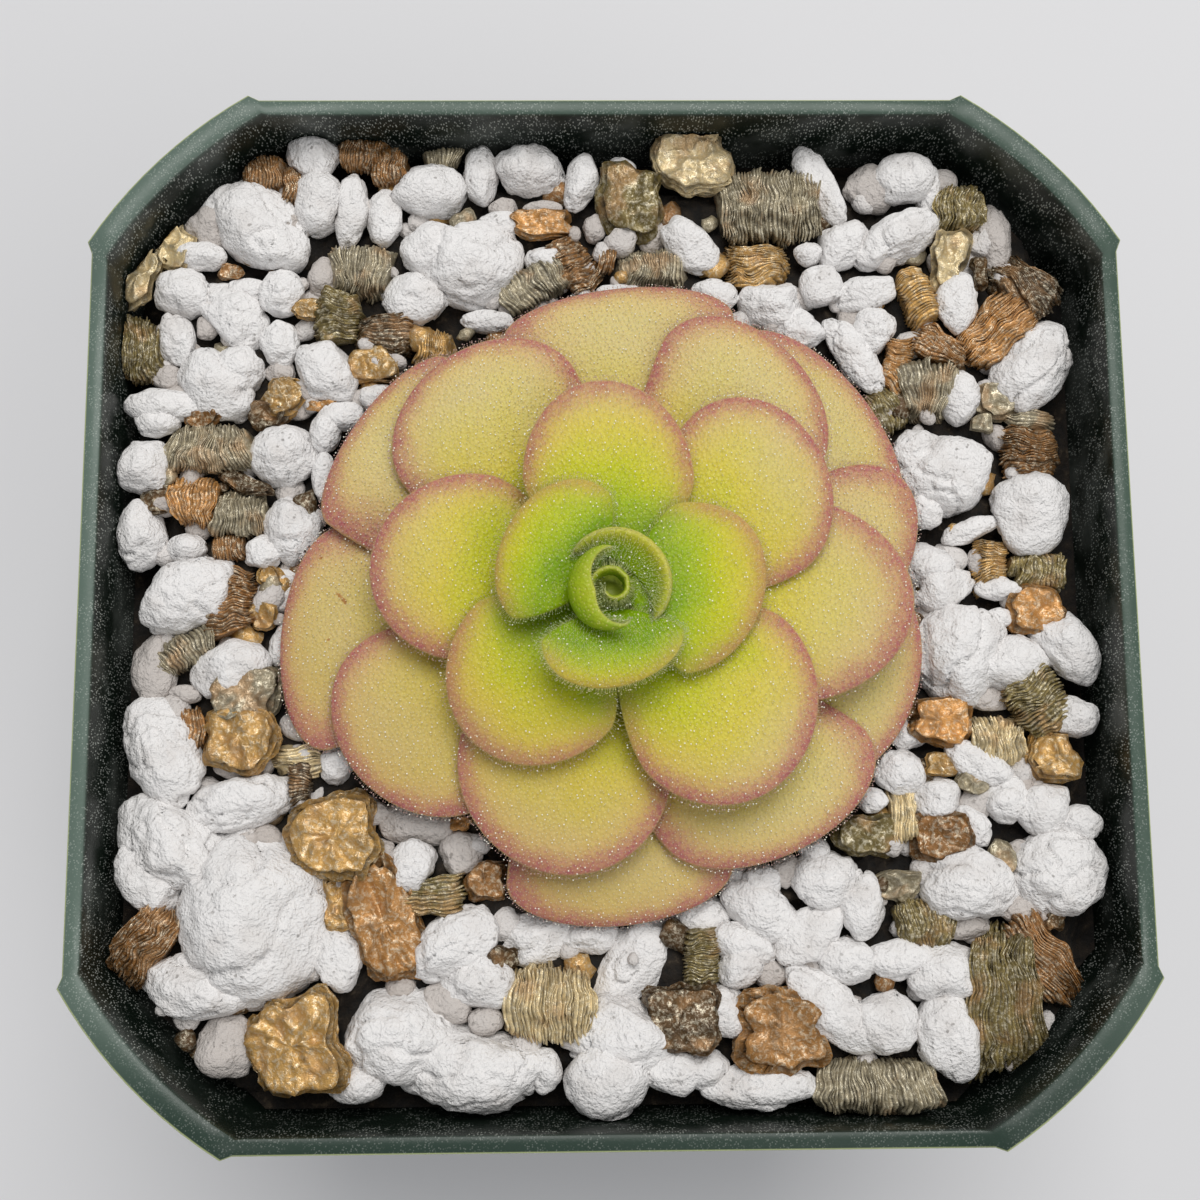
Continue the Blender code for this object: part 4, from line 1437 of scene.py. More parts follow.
    def build(self) -> None:
        """Build and dress every leaf, the glands in three groups, and the crown."""
        noise = Noise(self.seed)
        rng = np.random.default_rng(self.seed)
        skin = LeafSkin().material()
        glands = GlandSkin().material()
        heaps = {group: Heap() for group, _ in self.gland_groups}
        for number, form in enumerate(self.forms(), 1):
            name = f"leaf_{number:02d}"
            made = self.leaf(number, form, noise, skin)
            settle(made, "leaf_inner" if number <= self.inner_leaves else "leaf_outer", name)
            group = next(group for group, last in self.gland_groups if number <= last)
            self.leaf_glands(heaps[group], number, form, rng)
        for group, heap in heaps.items():
            made = heap.piece(f"glands_{group}", glands)
            settle(made, "leaf_inner" if group == "inner" else "leaf_outer")
        settle(self.crown(), "crown", "crown")


class Tone(Enum):
    """Colours of the vermiculite: a table row's letter, and the display code of its light face."""

    BROWN = ("b", "8f6435")
    GOLD = ("g", "c49a58")
    CREAM = ("c", "dac495")
    DARK = ("d", "574024")
    SILVER = ("s", "a1967c")
    ORANGE = ("o", "b98549")
    OLIVE = ("v", "7f7042")

    @classmethod
    def of(cls, letter: str) -> Tone:
        """The tone that a table row's letter stands for."""
        return next(tone for tone in cls if tone.value[0] == letter)

    def light_face(self) -> Array:
        """Its scene-linear colour."""
        return np.array(linear(self.value[1]))


class Lay(Enum):
    """How a vermiculite grain's layers lie: across its long side, along it, or flat with a face up."""

    ACROSS = "A"
    ALONG = "L"
    FLAT = "F"


@dataclass(frozen=True)
class Grain:
    """A grain as seen from above: place x, y, long side, short side and turn in degrees."""

    x: float
    y: float
    long: float
    short: float
    turn: float


@dataclass(frozen=True)
class Stack:
    """A vermiculite stack's own form: half its depth, width and height, whether its layers lie flat, each
    point's way round a layer, the layers' outline, how the stack bends and where its folds fall."""

    sides: tuple[float, float, float]
    flat: bool
    spin: Array
    plan: Array
    bend: Array
    folds: Array


@dataclass(frozen=True)
class PerliteSkin:
    """Finish of the perlite: chalky white with faint dust, and small pits darkened with painted shade."""

    white: str = "e5e3e2"
    dust: str = "b3aaa3"
    pit_shade: str = "6f6964"
    pit_share: float = 0.6
    pore_cells: float = 1500.0
    skin_cells: float = 3600.0
    roughness: float = 0.85
    specular: float = 0.35

    def material(self) -> bpy.types.Material:
        """The perlite's material; the attribute dusty greys a grain.

        Returns:
            The material.
        """
        board = Board("perlite_skin")
        dusty = board.attribute("dusty")
        patches = board.span(board.noise(300.0, 2.0), 0.46, 0.78, 0.0, 0.3)
        colour = board.mix(board.math("MAXIMUM", dusty, patches), linear(self.white), linear(self.dust))
        pores = board.cells(self.pore_cells)
        rare = board.span(board.noise(600.0, 1.0), 0.52, 0.66)
        ragged = board.math("ADD", pores, board.span(board.noise(2500.0), 0.3, 0.7, -0.12, 0.12))
        pits = board.math("MULTIPLY", board.span(ragged, 0.1, 0.26, 1.0, 0.0), rare)
        # Painted shade in small pits that the mesh doesn't have.
        colour = board.mix(board.math("MULTIPLY", pits, self.pit_share), colour, linear(self.pit_shade))
        board.set(Base_Color=colour, Roughness=self.roughness, Specular_IOR_Level=self.specular)
        coarse = board.bump(board.noise(1000.0, 3.0, 0.7), 0.45, 0.9)
        board.set(Normal=board.bump(board.cells(self.skin_cells), 0.1, 0.8, coarse))
        return board.material


@dataclass(frozen=True)
class VermiculiteSkin:
    """Finish of the vermiculite: layered mica with a bronze glint and pale specks of painted glint, rusty in
    places, with painted shade in its grooves.
    """

    rust: str = "b5895a"
    glint: str = "fff6dc"
    # deep is the colour of the painted shade in the grooves.
    deep: str = "1f1408"
    metal: float = 0.4

    def material(self) -> bpy.types.Material:
        """The vermiculite's material; attributes tone and groove tell a grain's colour and how much painted
        shade its grooves get.

        Returns:
            The material.
        """
        board = Board("vermiculite_skin")
        tone = board.attribute("tone", "Color")
        groove = board.attribute("groove")
        specks = board.noise(2600.0, 3.0, 0.7)
        clouds = board.noise(700.0, 3.0)
        pale = board.mix(0.55, tone, linear(self.glint))
        shade = board.mix(0.88, tone, linear(self.deep))
        # Pale specks of painted glint.
        colour = board.mix(board.span(specks, 0.45, 0.68, 0.0, 0.9), tone, pale)
        colour = board.mix(board.span(clouds, 0.5, 0.75, 0.0, 0.4), colour, board.mix(0.5, tone, shade))
        colour = board.mix(board.span(board.noise(380.0, 3.0), 0.5, 0.7, 0.0, 0.5), colour, linear(self.rust))
        depth = board.span(board.noise(1300.0, 3.0), 0.35, 0.62, 0.4, 0.97)
        # Painted shade in the grooves between layers and in the creases.
        colour = board.mix(board.math("MULTIPLY", groove, depth), colour, shade)
        board.set(Base_Color=colour, Metallic=self.metal)
        board.set(Roughness=board.span(specks, 0.3, 0.7, 0.5, 0.22))
        board.set(Normal=board.bump(specks, 0.12, 1.0))
        return board.material


@dataclass(frozen=True)
class BedSkin:
    """Finish of the deep mix between the grains: dark and crumbly, its near-black painted shade in the gaps
    between the grains.
    """

    painted_gap_shade: str = "0e0b08"
    brown: str = "231b12"
    crumb: str = "5a4e3e"

    def material(self) -> bpy.types.Material:
        """The bed's material.

        Returns:
            The material.
        """
        board = Board("bed_skin")
        crumbs = board.noise(900.0, 5.0, 0.6)
        # The near-black stop is painted shade in the gaps between grains; brown and crumb are the mix's own
        # colours.
        stops = ((0.4, linear(self.painted_gap_shade)), (0.6, linear(self.brown)), (0.8, linear(self.crumb)))
        colour = board.ramp(crumbs, stops)
        board.set(Base_Color=colour, Roughness=0.9, Normal=board.bump(crumbs, 0.5))
        return board.material


@dataclass
class Mix:
    """The mix of perlite and vermiculite: a deep bed, the grains that show on it and the crumbs between."""

    bed_z: float = 70.0
    bed_cells: int = 120
    bed_sunk: float = 0.6
    edge_sunk: float = 3.4
    crown_hollow: float = 4.75
    crown_sunk: float = 2.6
    clear: float = 0.3
    leaf_gap: float = 0.12
    least_rise: float = 0.7
    seed: int = 24
    map_cell: float = 0.6
    map_side: int = 110
    big_perlite: float = 7.5
    crumb_count: int = 560
    crumb_reach: float = 38.5
    crumb_sides: tuple[float, float] = (0.9, 2.6)
    crumb_rises: tuple[float, float] = (0.1, 1.5)
    fine_crumb: float = 2.0
    perlite_crumbs: float = 0.78
    layer: float = 0.25
    flat_layer: float = 1.7

    perlite: tuple[tuple[float, ...], ...] = (
        (-26, 41.5, 4.5, 4, 0), (-35.5, 38, 3.5, 3.5, -20), (-30.5, 34, 9.5, 6.5, -50),
        (-25.5, 36.5, 6, 4, 90), (-22.5, 36, 6, 3, 85), (-19.5, 35, 5, 3, 90), (-15.5, 37.5, 6.5, 5, 0),
        (-36, 31.5, 5, 2.5, -5), (-37, 28, 5, 4, 0), (-28.5, 28, 4, 4, 0), (-32.5, 26, 6.5, 4.5, -45),
        (-28.5, 23.5, 4, 3, 90), (-24.5, 21, 5.5, 5, -45), (-37.5, 24, 4.5, 3, 105), (-32, 21, 4, 4, 0),
        (-34, 20, 6.5, 5, -50), (-38.5, 18, 6.5, 3, 0), (-39, 16.5, 4, 2.5, 0), (-17, 27.5, 5, 4.5, 0),
        (-15.5, 32, 5, 4.5, 0), (-12, 31, 8, 7.5, 0), (-9, 34.5, 4.5, 2, 0), (-20, 18.5, 3, 2.5, 0),
        (-31.5, 28.5, 3.5, 2, 0), (-23, 17, 4, 2.5, 0), (-11, 39, 5, 3, 90), (-7, 39.5, 6, 4.5, 0),
        (-2, 38.5, 5, 3, 75), (1.5, 39.5, 2.5, 2, 0), (7.5, 32.5, 6, 3.5, -50), (-5.5, 31, 3, 2.5, 0),
        (1, 28, 4, 1.5, 0), (9.5, 27.5, 4.5, 3, 0), (14.5, 27, 5.5, 4, 0), (-10, 25.5, 4.5, 2, 0),
        (19, 38, 7.5, 3, -65), (27, 38.5, 5.5, 4.5, 0), (29, 37, 3.5, 2, 90), (21, 32.5, 5, 3.5, 40),
        (26, 33, 8.5, 4, 30), (18, 31.5, 2.5, 2, 0), (19, 28.5, 4, 3.5, 0), (23, 28, 5.5, 3, 12),
        (31, 27, 5, 3.5, 80), (37.5, 21.5, 8.5, 6, 50), (23.5, 24.5, 4, 3.5, 90), (21.5, 22.5, 8, 3, -55),
        (17, 24.5, 3.5, 3.5, 0), (31, 18.5, 4.5, 3.5, 90), (15, 25.5, 2, 1.5, 0), (-40, 12.5, 5, 4.5, 15),
        (-28, 13.5, 5.5, 5, 0), (-40, 6.5, 5.5, 4, 90), (-36, 5.5, 3.5, 2.5, 0), (-36, 1.5, 8.5, 6, 20),
        (-27, 7, 5.5, 4.5, 90), (-29.5, 5, 3, 3, 0), (-28, 2, 4, 3.5, 0), (-24.5, 15.5, 3.5, 2.5, 90),
        (-24.5, 11.5, 4.5, 2, 90), (-32, -5, 6.5, 4.5, 20), (-27.5, -2.5, 4.5, 2.5, 60),
        (-37.5, -12, 9.5, 5.5, -65), (29.5, 11.5, 8, 6.5, 0), (27, 13.5, 4, 4, 0), (36.5, 8, 7, 6.5, -50),
        (27.5, 8.5, 3.5, 3, 90), (31, 6.5, 4.5, 2, 20), (27.5, 3.5, 4.5, 3.5, 0), (28.5, 1.5, 5, 4, 0),
        (33.5, 1.5, 4, 2, 0), (30, -4, 9, 7.5, 90), (34.5, -5, 6, 4.5, 0), (39, -3.5, 7, 4.5, -55),
        (39.5, -9.5, 4, 3.5, 0), (33.5, -1, 2.5, 1.5, 0), (25.5, -10.5, 3.5, 3, 0), (-31, -16, 8, 4.5, 10),
        (-36.5, -19.5, 10, 6.5, -30), (-38.5, -22.5, 6.5, 4, -40), (-29.5, -25.5, 14.5, 12.5, 90),
        (-34, -31, 8.5, 6, 0), (-22.5, -29, 5, 4, 90), (-17.5, -35, 9, 7, 0), (-11, -38, 11, 6.5, 0),
        (-21, -39, 4.5, 3, 0), (-16.5, -21.5, 4, 4, 0), (-23, -13, 3, 3, 0), (-13, -28, 8, 5, 35),
        (-11, -31, 5.5, 4.5, 0), (-6.5, -27.5, 6.5, 5, 0), (-2, -27.5, 4.5, 3, 0), (2, -29.5, 11, 5, 60),
        (-0.5, -38.5, 7, 6.5, 0), (1, -35.5, 8.5, 6, 0), (7.5, -26, 5, 4, 0), (12.5, -25.5, 7, 4, -30),
        (11, -28, 5.5, 3, -20), (10.5, -30, 3.5, 3.5, 0), (9, -33.5, 4, 4, 0), (16.5, -27.5, 7, 3.5, 45),
        (5, -38.5, 5, 3.5, 0), (7.5, -38, 4, 3, 0), (12, -39.5, 9.5, 3.5, 0), (-5.5, -38, 3.5, 2.5, 90),
        (11, -22.5, 3.5, 2, 0), (31, -13.5, 6, 3, -25), (33.5, -16.5, 4, 3.5, 0), (36.5, -17.5, 4.5, 4, 0),
        (27.5, -16.5, 4, 3.5, 0), (30.5, -18.5, 3.5, 2.5, -60), (39.5, -18.5, 3.5, 3, 0),
        (37.5, -22.5, 7.5, 6.5, 0), (29.5, -23.5, 8, 6.5, 0), (18, -23, 5.5, 4.5, 0),
        (21, -25, 5.5, 3.5, 90), (24, -29.5, 5.5, 3.5, 0), (19.5, -29.5, 5, 3.5, 0),
        (27.5, -30.5, 6, 4.5, 0), (27.5, -35.5, 6.5, 5, 90), (18, -33.5, 9.5, 4.5, -40),
        (22.5, -34.5, 5, 5, 0), (24.5, -14, 4, 3.5, 0), (22, -16.5, 2.5, 2, 0), (12.5, -23, 3, 3, 0),
        (17, -20.5, 2.5, 2, 0),
    )
    dusty_perlite: tuple[tuple[float, ...], ...] = (
        (-35, 34.5, 4, 4, 0), (-35, 25, 2, 2, 0), (-38.5, 20.5, 3, 2, 0), (-25, 29.5, 4, 2.5, 90),
        (-28.5, 21, 2.5, 2, 0), (-5.5, 36, 3.5, 1.5, 0), (-9, 36, 2.5, 2, 0), (-1, 34, 2.5, 2, 90),
        (-4, 29.5, 2.5, 2, 90), (24, 38, 4.5, 4, 0), (34.5, 33, 6, 3.5, 90), (-38.5, -5, 5.5, 3.5, 90),
        (-36, -7, 2.5, 1.5, 0), (32.5, -8, 3.5, 2, 0), (-31.5, -36, 5, 5, 0), (-16, -18, 6, 4, 0),
        (-20.5, -17, 4, 2.5, 0), (-13.5, -33, 4, 3.5, 0), (-30, -19.5, 3.5, 2, 0), (-31.5, -13, 3.5, 2.5, 0),
        (-19.5, -21, 3.5, 3.5, 0), (-12.5, -20.5, 3.5, 3.5, 0), (13, -30.5, 2.5, 2.5, 0),
        (34.5, -21, 2.5, 2, 0), (34.5, -25.5, 4, 2.5, 0), (29.5, -27, 4, 2, 0), (14.5, -22, 2.5, 2.5, 0),
    )
    vermiculite: tuple[tuple, ...] = (
        (-30.5, 39, 4, 3.5, 0, "bA"), (-27.5, 38, 3.5, 2, 90, "bL"), (-21.5, 41, 4, 3, 0, "bA"),
        (-19, 39.5, 3, 3, 0, "bA"), (-39, 33.5, 4, 3, 75, "cF"), (-41, 29.5, 6, 3, 75, "cF"),
        (-40.5, 23, 5.5, 3.5, 90, "vL"), (-21.5, 30, 5.5, 5, 0, "sA"), (-23.5, 26, 4.5, 4.5, 0, "vL"),
        (-33, 30, 2, 1.5, 0, "bF"), (-20.5, 21.5, 4.5, 3.5, 0, "gF"), (-28, 18.5, 3.5, 3.5, 0, "gF"),
        (-19.5, 24.5, 5, 3, 0, "dL"), (-26, 26.5, 2.5, 2, 0, "gF"), (-15, 23, 3.5, 3.5, 0, "gA"),
        (-25, 18, 2.5, 1, 0, "oF"), (-14.5, 40.5, 3, 2, 0, "sA"), (-35, 17, 3.5, 2, 0, "bF"),
        (-29.5, 17, 3.5, 2.5, 0, "dF"), (7.5, 40, 6.5, 6.5, 0, "cF"), (2, 36, 6.5, 5.5, 90, "vF"),
        (14.5, 36, 9, 6.5, 0, "sA"), (-5.5, 34.5, 6, 2.5, 0, "oF"), (-2.5, 30.5, 5, 3.5, -55, "bA"),
        (4, 30, 6.5, 4, 0, "sA"), (13, 30.5, 5.5, 4, 0, "gL"), (-6.5, 28.5, 5.5, 3.5, 30, "sA"),
        (-12.5, 34, 3, 2, 90, "sF"), (0, 31, 2.5, 1.5, 90, "bL"), (31.5, 35.5, 4.5, 4, 0, "vA"),
        (30.5, 31, 5.5, 3.5, 80, "cF"), (27.5, 27.5, 5, 3, -70, "gA"), (37, 28.5, 6.5, 4, -50, "dL"),
        (34, 24.5, 7, 4.5, 40, "oL"), (29, 23, 5, 3, -35, "bL"), (25.5, 21.5, 5, 2.5, 78, "oA"),
        (28, 19, 5, 4.5, 90, "sL"), (34, 18, 4, 3, 0, "sF"), (24, 17.5, 4, 3.5, -65, "vL"),
        (33, 29.5, 3.5, 1.5, 90, "dF"), (37, 16.5, 4, 1.5, 0, "sL"), (-34.5, 14, 8.5, 4, 0, "sA"),
        (-35.5, 9.5, 4, 4, 0, "oA"), (-31.5, 8.5, 5, 4, 0, "sA"), (-32.5, 5.5, 3, 2.5, 0, "bA"),
        (-32.5, 1, 6, 4.5, 90, "bA"), (-29.5, -0.5, 2.5, 2.5, 0, "gF"), (-36, -3.5, 5, 3, 25, "sA"),
        (-30.5, -7, 5.5, 4.5, 0, "sF"), (-38.5, 9.5, 3, 2.5, 0, "dF"), (-31, 11, 5, 1.5, -25, "dF"),
        (-31, -11, 6.5, 6, 0, "gF"), (-35, -10, 3.5, 2, 90, "bL"), (-29, 3, 2, 1.5, 0, "gF"),
        (-26.5, -12.5, 4.5, 2.5, 0, "cL"), (37, 13.5, 5, 4.5, 0, "bL"), (32.5, 16, 2, 1.5, 0, "sF"),
        (33, 3.5, 4.5, 3, 90, "gA"), (37.5, 3, 4, 3.5, 0, "vA"), (35.5, 3.5, 2.5, 2, 0, "vA"),
        (36.5, -0.5, 5, 4, 0, "oF"), (36.5, -8, 5, 5, 30, "vL"), (28, -10, 5, 4, 0, "oF"),
        (33, -11.5, 4.5, 4, 0, "cA"), (37.5, -13, 4.5, 4, 0, "gF"), (25.5, -1.5, 2.5, 2, 0, "bF"),
        (-23.5, -19, 7.5, 6.5, 0, "gF"), (-18.5, -26, 10.5, 5.5, -70, "oF"), (-22.5, -24, 5, 2.5, 90, "gF"),
        (-38.5, -27.5, 7, 4, 55, "bL"), (-26, -35.5, 8.5, 8, 0, "gF"), (-26, -14.5, 3.5, 2, 90, "dA"),
        (-15, -24, 6, 3, 0, "vL"), (-12.5, -18, 1.5, 1.5, 0, "oF"), (-10.5, -23, 3.5, 3.5, 0, "bF"),
        (-31, -32.5, 2.5, 1.5, 0, "dF"), (-5, -33, 7, 6, 0, "cA"), (5.5, -34, 6, 5.5, 0, "dF"),
        (7.5, -29.5, 5.5, 3, 90, "vA"), (13.5, -35, 8, 7, 0, "oF"), (-9, -29, 2.5, 2, 0, "dF"),
        (24.5, -17.5, 5, 2.5, 90, "cL"), (21.5, -19.5, 5.5, 4, 0, "vF"), (27.5, -19.5, 5, 4, 0, "bF"),
        (24, -23.5, 4, 3, 0, "sF"), (26, -26.5, 4.5, 4, 0, "vA"), (32, -33, 11, 5.5, 90, "vL"),
        (35.5, -30, 7, 4.5, -45, "bL"), (21.5, -39.5, 8.5, 4.5, 0, "sA"), (30.5, -15, 3, 2, 0, "sF"),
        (32.5, -21.5, 3.5, 2.5, 90, "sF"), (37, -26.5, 2, 1.5, 0, "dF"), (28, -13.5, 3, 2, 0, "gF"),
    )

    def __post_init__(self) -> None:
        """Prepare the seeded draws and the map of the leaves over the mix."""
        self.rng = np.random.default_rng(self.seed)
        self.noise = Noise(self.seed + 1)
        self.roof = np.full((self.map_side, self.map_side), Pot.RIM_Z + 4.0)
        self.map_leaves()

    def squares(self, points: Array) -> tuple[Array, Array]:
        """Row and column of the leaf map at each point.

        Args:
            points: rows of x and y, and more.

        Returns:
            The rows and the columns.
        """
        places = np.floor(points[:, :2] / self.map_cell).astype(int) + self.map_side // 2
        places = np.clip(places, 0, self.map_side - 1)
        return places[:, 0], places[:, 1]

    def map_leaves(self) -> None:
        """Store the lowest underside of any leaf over each square."""
        share, angle = np.meshgrid(np.linspace(0, 1.03, 34), np.linspace(0, 2 * math.pi, 150))
        for form in Rosette().forms()[2:]:
            points = form.middle(share.ravel(), angle.ravel())
            low = points[:, 2] - form.thickness / 2
            np.minimum.at(self.roof, self.squares(points), low)

    def under_leaves(self, points: Array, room: float) -> Array:
        """The points with any that would reach a leaf lowered to stay under it.

        Args:
            points: rows of x, y, z.
            room: the least gap under a leaf.

        Returns:
            The points, lowered where they must be.
        """
        lowest = self.roof[self.squares(points)] - room
        out = points.copy()
        out[:, 2] = np.minimum(points[:, 2], lowest)
        return out

    def rise_of(self, grain: Grain, wanted: float) -> float:
        """How far a grain stands over the bed: as wanted, or as far as the leaves over it allow.

        Args:
            grain: its place and sides.
            wanted: how far it would stand in the open.

        Returns:
            The rise of its top over the bed.
        """
        angle = np.linspace(0, 2 * math.pi, 16, endpoint=False)
        ring = np.stack([np.cos(angle) * grain.long * 0.3, np.sin(angle) * grain.short * 0.3], axis=1)
        turn = math.radians(grain.turn)
        across = np.array([[math.cos(turn), math.sin(turn)], [-math.sin(turn), math.cos(turn)]])
        places = ring @ across + np.array([grain.x, grain.y])
        lowest = self.roof[self.squares(places)].min() - self.bed_z - self.clear
        return float(min(wanted, max(lowest, self.least_rise)))

    def place(self, local: Array, grain: Grain, rise: float, height: float) -> Array:
        """Points of a grain moved from its own middle to its place in the pot.

        Args:
            local: its points round its own middle, its long side along x.
            grain: the grain.
            rise: how far its top stands over the bed.
            height: half its height.

        Returns:
            The points in the pot's frame, inside the wall and under the leaves.
        """
        turn = math.radians(grain.turn)
        x, y = Pot.inside(np.array([grain.x]), np.array([grain.y]), grain.short * 0.2)
        out = np.empty_like(local)
        out[:, 0] = x[0] + local[:, 0] * math.cos(turn) - local[:, 1] * math.sin(turn)
        out[:, 1] = y[0] + local[:, 0] * math.sin(turn) + local[:, 1] * math.cos(turn)
        out[:, 2] = self.bed_z + rise - height + local[:, 2]
        out[:, 0], out[:, 1] = Pot.inside(out[:, 0], out[:, 1], 0.0)
        return self.under_leaves(out, self.leaf_gap)

    def ball(self, detail: int) -> tuple[Array, Array]:
        """A unit ball made of triangles.

        Args:
            detail: how often its faces are divided.

        Returns:
            Its points and its triangles.
        """
        deselect_all()
        bpy.ops.mesh.primitive_ico_sphere_add(subdivisions=detail, radius=1.0)
        return take_apart(bpy.context.object)

    def wound_ball(self, around: int, rings: int) -> tuple[Array, Array, Array]:
        """A ball made of rings, to be drawn out into a stack.

        Args:
            around: points on each ring.
            rings: rings between its two poles.

        Returns:
            Each point's ring, counted from the lower pole to the upper one, its number on the ring, and the
            ball's triangles.
        """
        deselect_all()
        bpy.ops.mesh.primitive_uv_sphere_add(segments=around, ring_count=rings + 1, radius=1.0)
        points, faces = take_apart(bpy.context.object)
        fall = np.arccos(np.clip(points[:, 2], -1, 1)) / math.pi
        ring = rings + 1 - np.round(fall * (rings + 1)).astype(int)
        turn = np.arctan2(points[:, 1], points[:, 0]) / (2 * math.pi)
        return ring, np.round(turn * around).astype(int) % around, faces

    def lump(self, heap: Heap, grain: Grain, rise: float, dusty: float, ball: tuple[Array, Array]) -> None:
        """A perlite grain: a worn lump with a few flats, knobs, creases between them and a rough skin.

        Args:
            heap: what gathers it.
            grain: its place and sides.
            rise: how far its top stands over the bed.
            dusty: how much dust greys it.
            ball: points and triangles of a unit ball.
        """
        way, faces = ball
        rng = self.rng
        size = np.ones(len(way))
        for _ in range(rng.integers(4, 9)):
            at = rng.normal(size=3)
            near = way @ (at / np.linalg.norm(at))
            size += rng.uniform(0.05, 0.2) * np.exp((near - 1) / rng.uniform(0.04, 0.2))
        for _ in range(rng.integers(4, 8)):
            at = rng.normal(size=3)
            near = np.maximum(way @ (at / np.linalg.norm(at)), 0.05)
            limit = rng.uniform(0.78, 1.0) / near
            size = -np.logaddexp(-size * 14, -limit * 14) / 14
        turned = way + rng.uniform(0, 30, 3)
        size = size - 0.17 * np.exp(-np.abs(self.noise.at(turned, 0.8)) / 0.035)
        height = min(grain.short, grain.long * 0.8) * 0.46
        half = np.array([grain.long / 2, grain.short / 2, height])
        local = way * (size / size.mean())[:, None] * half * 1.04
        turned = local + rng.uniform(0, 30, 3)
        rough = self.noise.at(turned, 1.3) * 0.16 - np.abs(self.noise.at(turned, 0.8)) * 0.26
        rough = rough + self.noise.at(turned, 0.45) * 0.08 + 0.1
        local = local + way * (rough * min(1.0, grain.short / 4))[:, None]
        placed = self.place(local, grain, rise, height)
        heap.add(placed, faces, dusty=np.full(len(placed), dusty))

    def stack(self, heap: Heap, grain: Grain, rise: float, tone: Tone, lay: Lay) -> None:
        """A vermiculite grain: a stack of thin uneven layers like an opened book.

        Args:
            heap: what gathers it.
            grain: its place and sides.
            rise: how far its top stands over the bed.
            tone: its colour.
            lay: how its layers lie.
        """
        rng = self.rng
        height = min(grain.short, 4.5) * 0.5
        sides = {
            Lay.ACROSS: (grain.long / 2, grain.short / 2, height),
            Lay.ALONG: (grain.short / 2, grain.long / 2, height),
            Lay.FLAT: (height * 0.6, grain.long / 2, grain.short / 2),
        }[lay]
        form = self.stack_form(sides, lay is Lay.FLAT)
        rows, groove, light = self.layers(form)
        sheets, deep, bright = self.closed(form, rows, groove, light)
        ring, spoke, faces = self.wound_ball(len(form.spin), len(sheets) - 2)
        local, deep, bright = sheets[ring, spoke], deep[ring, spoke], bright[ring, spoke]
        if form.flat:
            local, deep = self.crumpled(form, local, deep)
            height = sides[0]
        elif lay is Lay.ALONG:
            local = np.stack([-local[:, 1], local[:, 0], local[:, 2]], axis=1)
        local[:, 2] += local[:, 0] * rng.uniform(-0.16, 0.16) + local[:, 1] * rng.uniform(-0.16, 0.16)
        placed = self.place(local, grain, rise, height)
        colour = tone.light_face()[None] * (bright * rng.uniform(0.85, 1.12))[:, None]
        heap.add(placed, faces, groove=deep, tone=colour)

    def stack_form(self, sides: tuple[float, float, float], flat: bool) -> Stack:
        """Draw what a stack's layers share.

        Args:
            sides: half its depth, width and height.
            flat: whether its layers lie flat.

        Returns:
            The stack's form.
        """
        angle = self.spokes(sides, flat)
        spin = np.stack([np.cos(angle), np.sin(angle)], axis=1)
        power = self.rng.uniform(2.2, 4.5)
        plan = (np.abs(spin[:, 0]) ** power + np.abs(spin[:, 1]) ** power) ** (-1 / power)
        uneven = np.column_stack([spin * 1.4, np.zeros(len(spin))]) + self.rng.uniform(0, 30, 3)
        plan = plan * (1 + (0.24 if flat else 0.2) * self.noise.at(uneven, 0.8))
        bend = self.rng.uniform(-0.22, 0.22, 2)
        return Stack(sides, flat, spin, plan, bend, self.rng.uniform(0, 30, 3))

    def layers(self, form: Stack) -> tuple[list[Array], list[Array], list[Array]]:
        """Draw a stack's layers, each a groove and two rims.

        Args:
            form: the stack's form.

        Returns:
            Rings of points, how deep in a groove each point lies, which sets its painted shade, and how bright
            it is.
        """
        rng, around = self.rng, len(form.spin)
        count = max(4, int(form.sides[0] * 2 / (self.layer * (self.flat_layer if form.flat else 1.0))))
        rows, groove, light = [], [], []
        wander = np.zeros(2)
        starts = np.cumsum(rng.uniform(0.5, 1.6, count))
        starts = np.concatenate([[0.0], starts]) / starts[-1]
        for layer in range(count):
            wander = wander * 0.8 + rng.normal(0, 0.022, 2)
            end = abs(2 * layer / (count - 1) - 1)
            wide = 1 + rng.uniform(-0.06, 0.05) - (0.16 if form.flat else 0.22) * end**4
            frayed = np.column_stack([form.spin * 5, np.full(around, layer * 0.55)]) + form.folds
            tear = (0.07 if form.flat else 0.13) * self.noise.at(frayed, 1.0)
            ragged = 1 + tear + rng.normal(0, 0.015, around)
            bright = rng.uniform(0.72, 1.25) * (1 + 0.3 * self.noise.at(frayed * 1.7, 1.0))
            steps = ((0.0, rng.uniform(0.74, 0.97), 1.0), (0.34, 1.0, 0.05), (0.7, 1.0, 0.0))
            for offset, scale, depth in steps:
                share = (starts[layer] * (1 - offset) + starts[layer + 1] * offset) * 2 - 1
                outline = form.plan * ragged * wide * scale
                rows.append(self.layer_ring(form, layer, share, outline, wander))
                groove.append(np.full(around, depth))
                light.append(bright)
        return rows, groove, light

    def layer_ring(self, form: Stack, layer: int, share: float, outline: Array, wander: Array) -> Array:
        """One ring of a stack, folded, bent and moved aside.

        Args:
            form: the stack's form.
            layer: the layer's number.
            share: the ring's place along the stack, from -1 to 1.
            outline: distance of each point from the ring's middle, as a share of the sides.
            wander: how far the ring lies aside, as shares of the sides.

        Returns:
            Rows of x along the stack, y across it and z up.
        """
        depth, width, height = form.sides
        around = len(outline)
        y = form.spin[:, 0] * outline * width + wander[0] * width
        z = form.spin[:, 1] * outline * height + wander[1] * height
        fold = self.noise.at(np.column_stack([y, z, np.full(around, layer * 0.2)]) + form.folds, 0.9)
        sweep = self.noise.at(np.column_stack([y, z, np.full(around, share * 1.5)]) - form.folds, 2.2)
        x = share * depth * (1 + form.bend[0] * y / width + form.bend[1] * z / height) + fold * 0.34
        return np.stack([x + sweep * 0.45, y, z], axis=1)

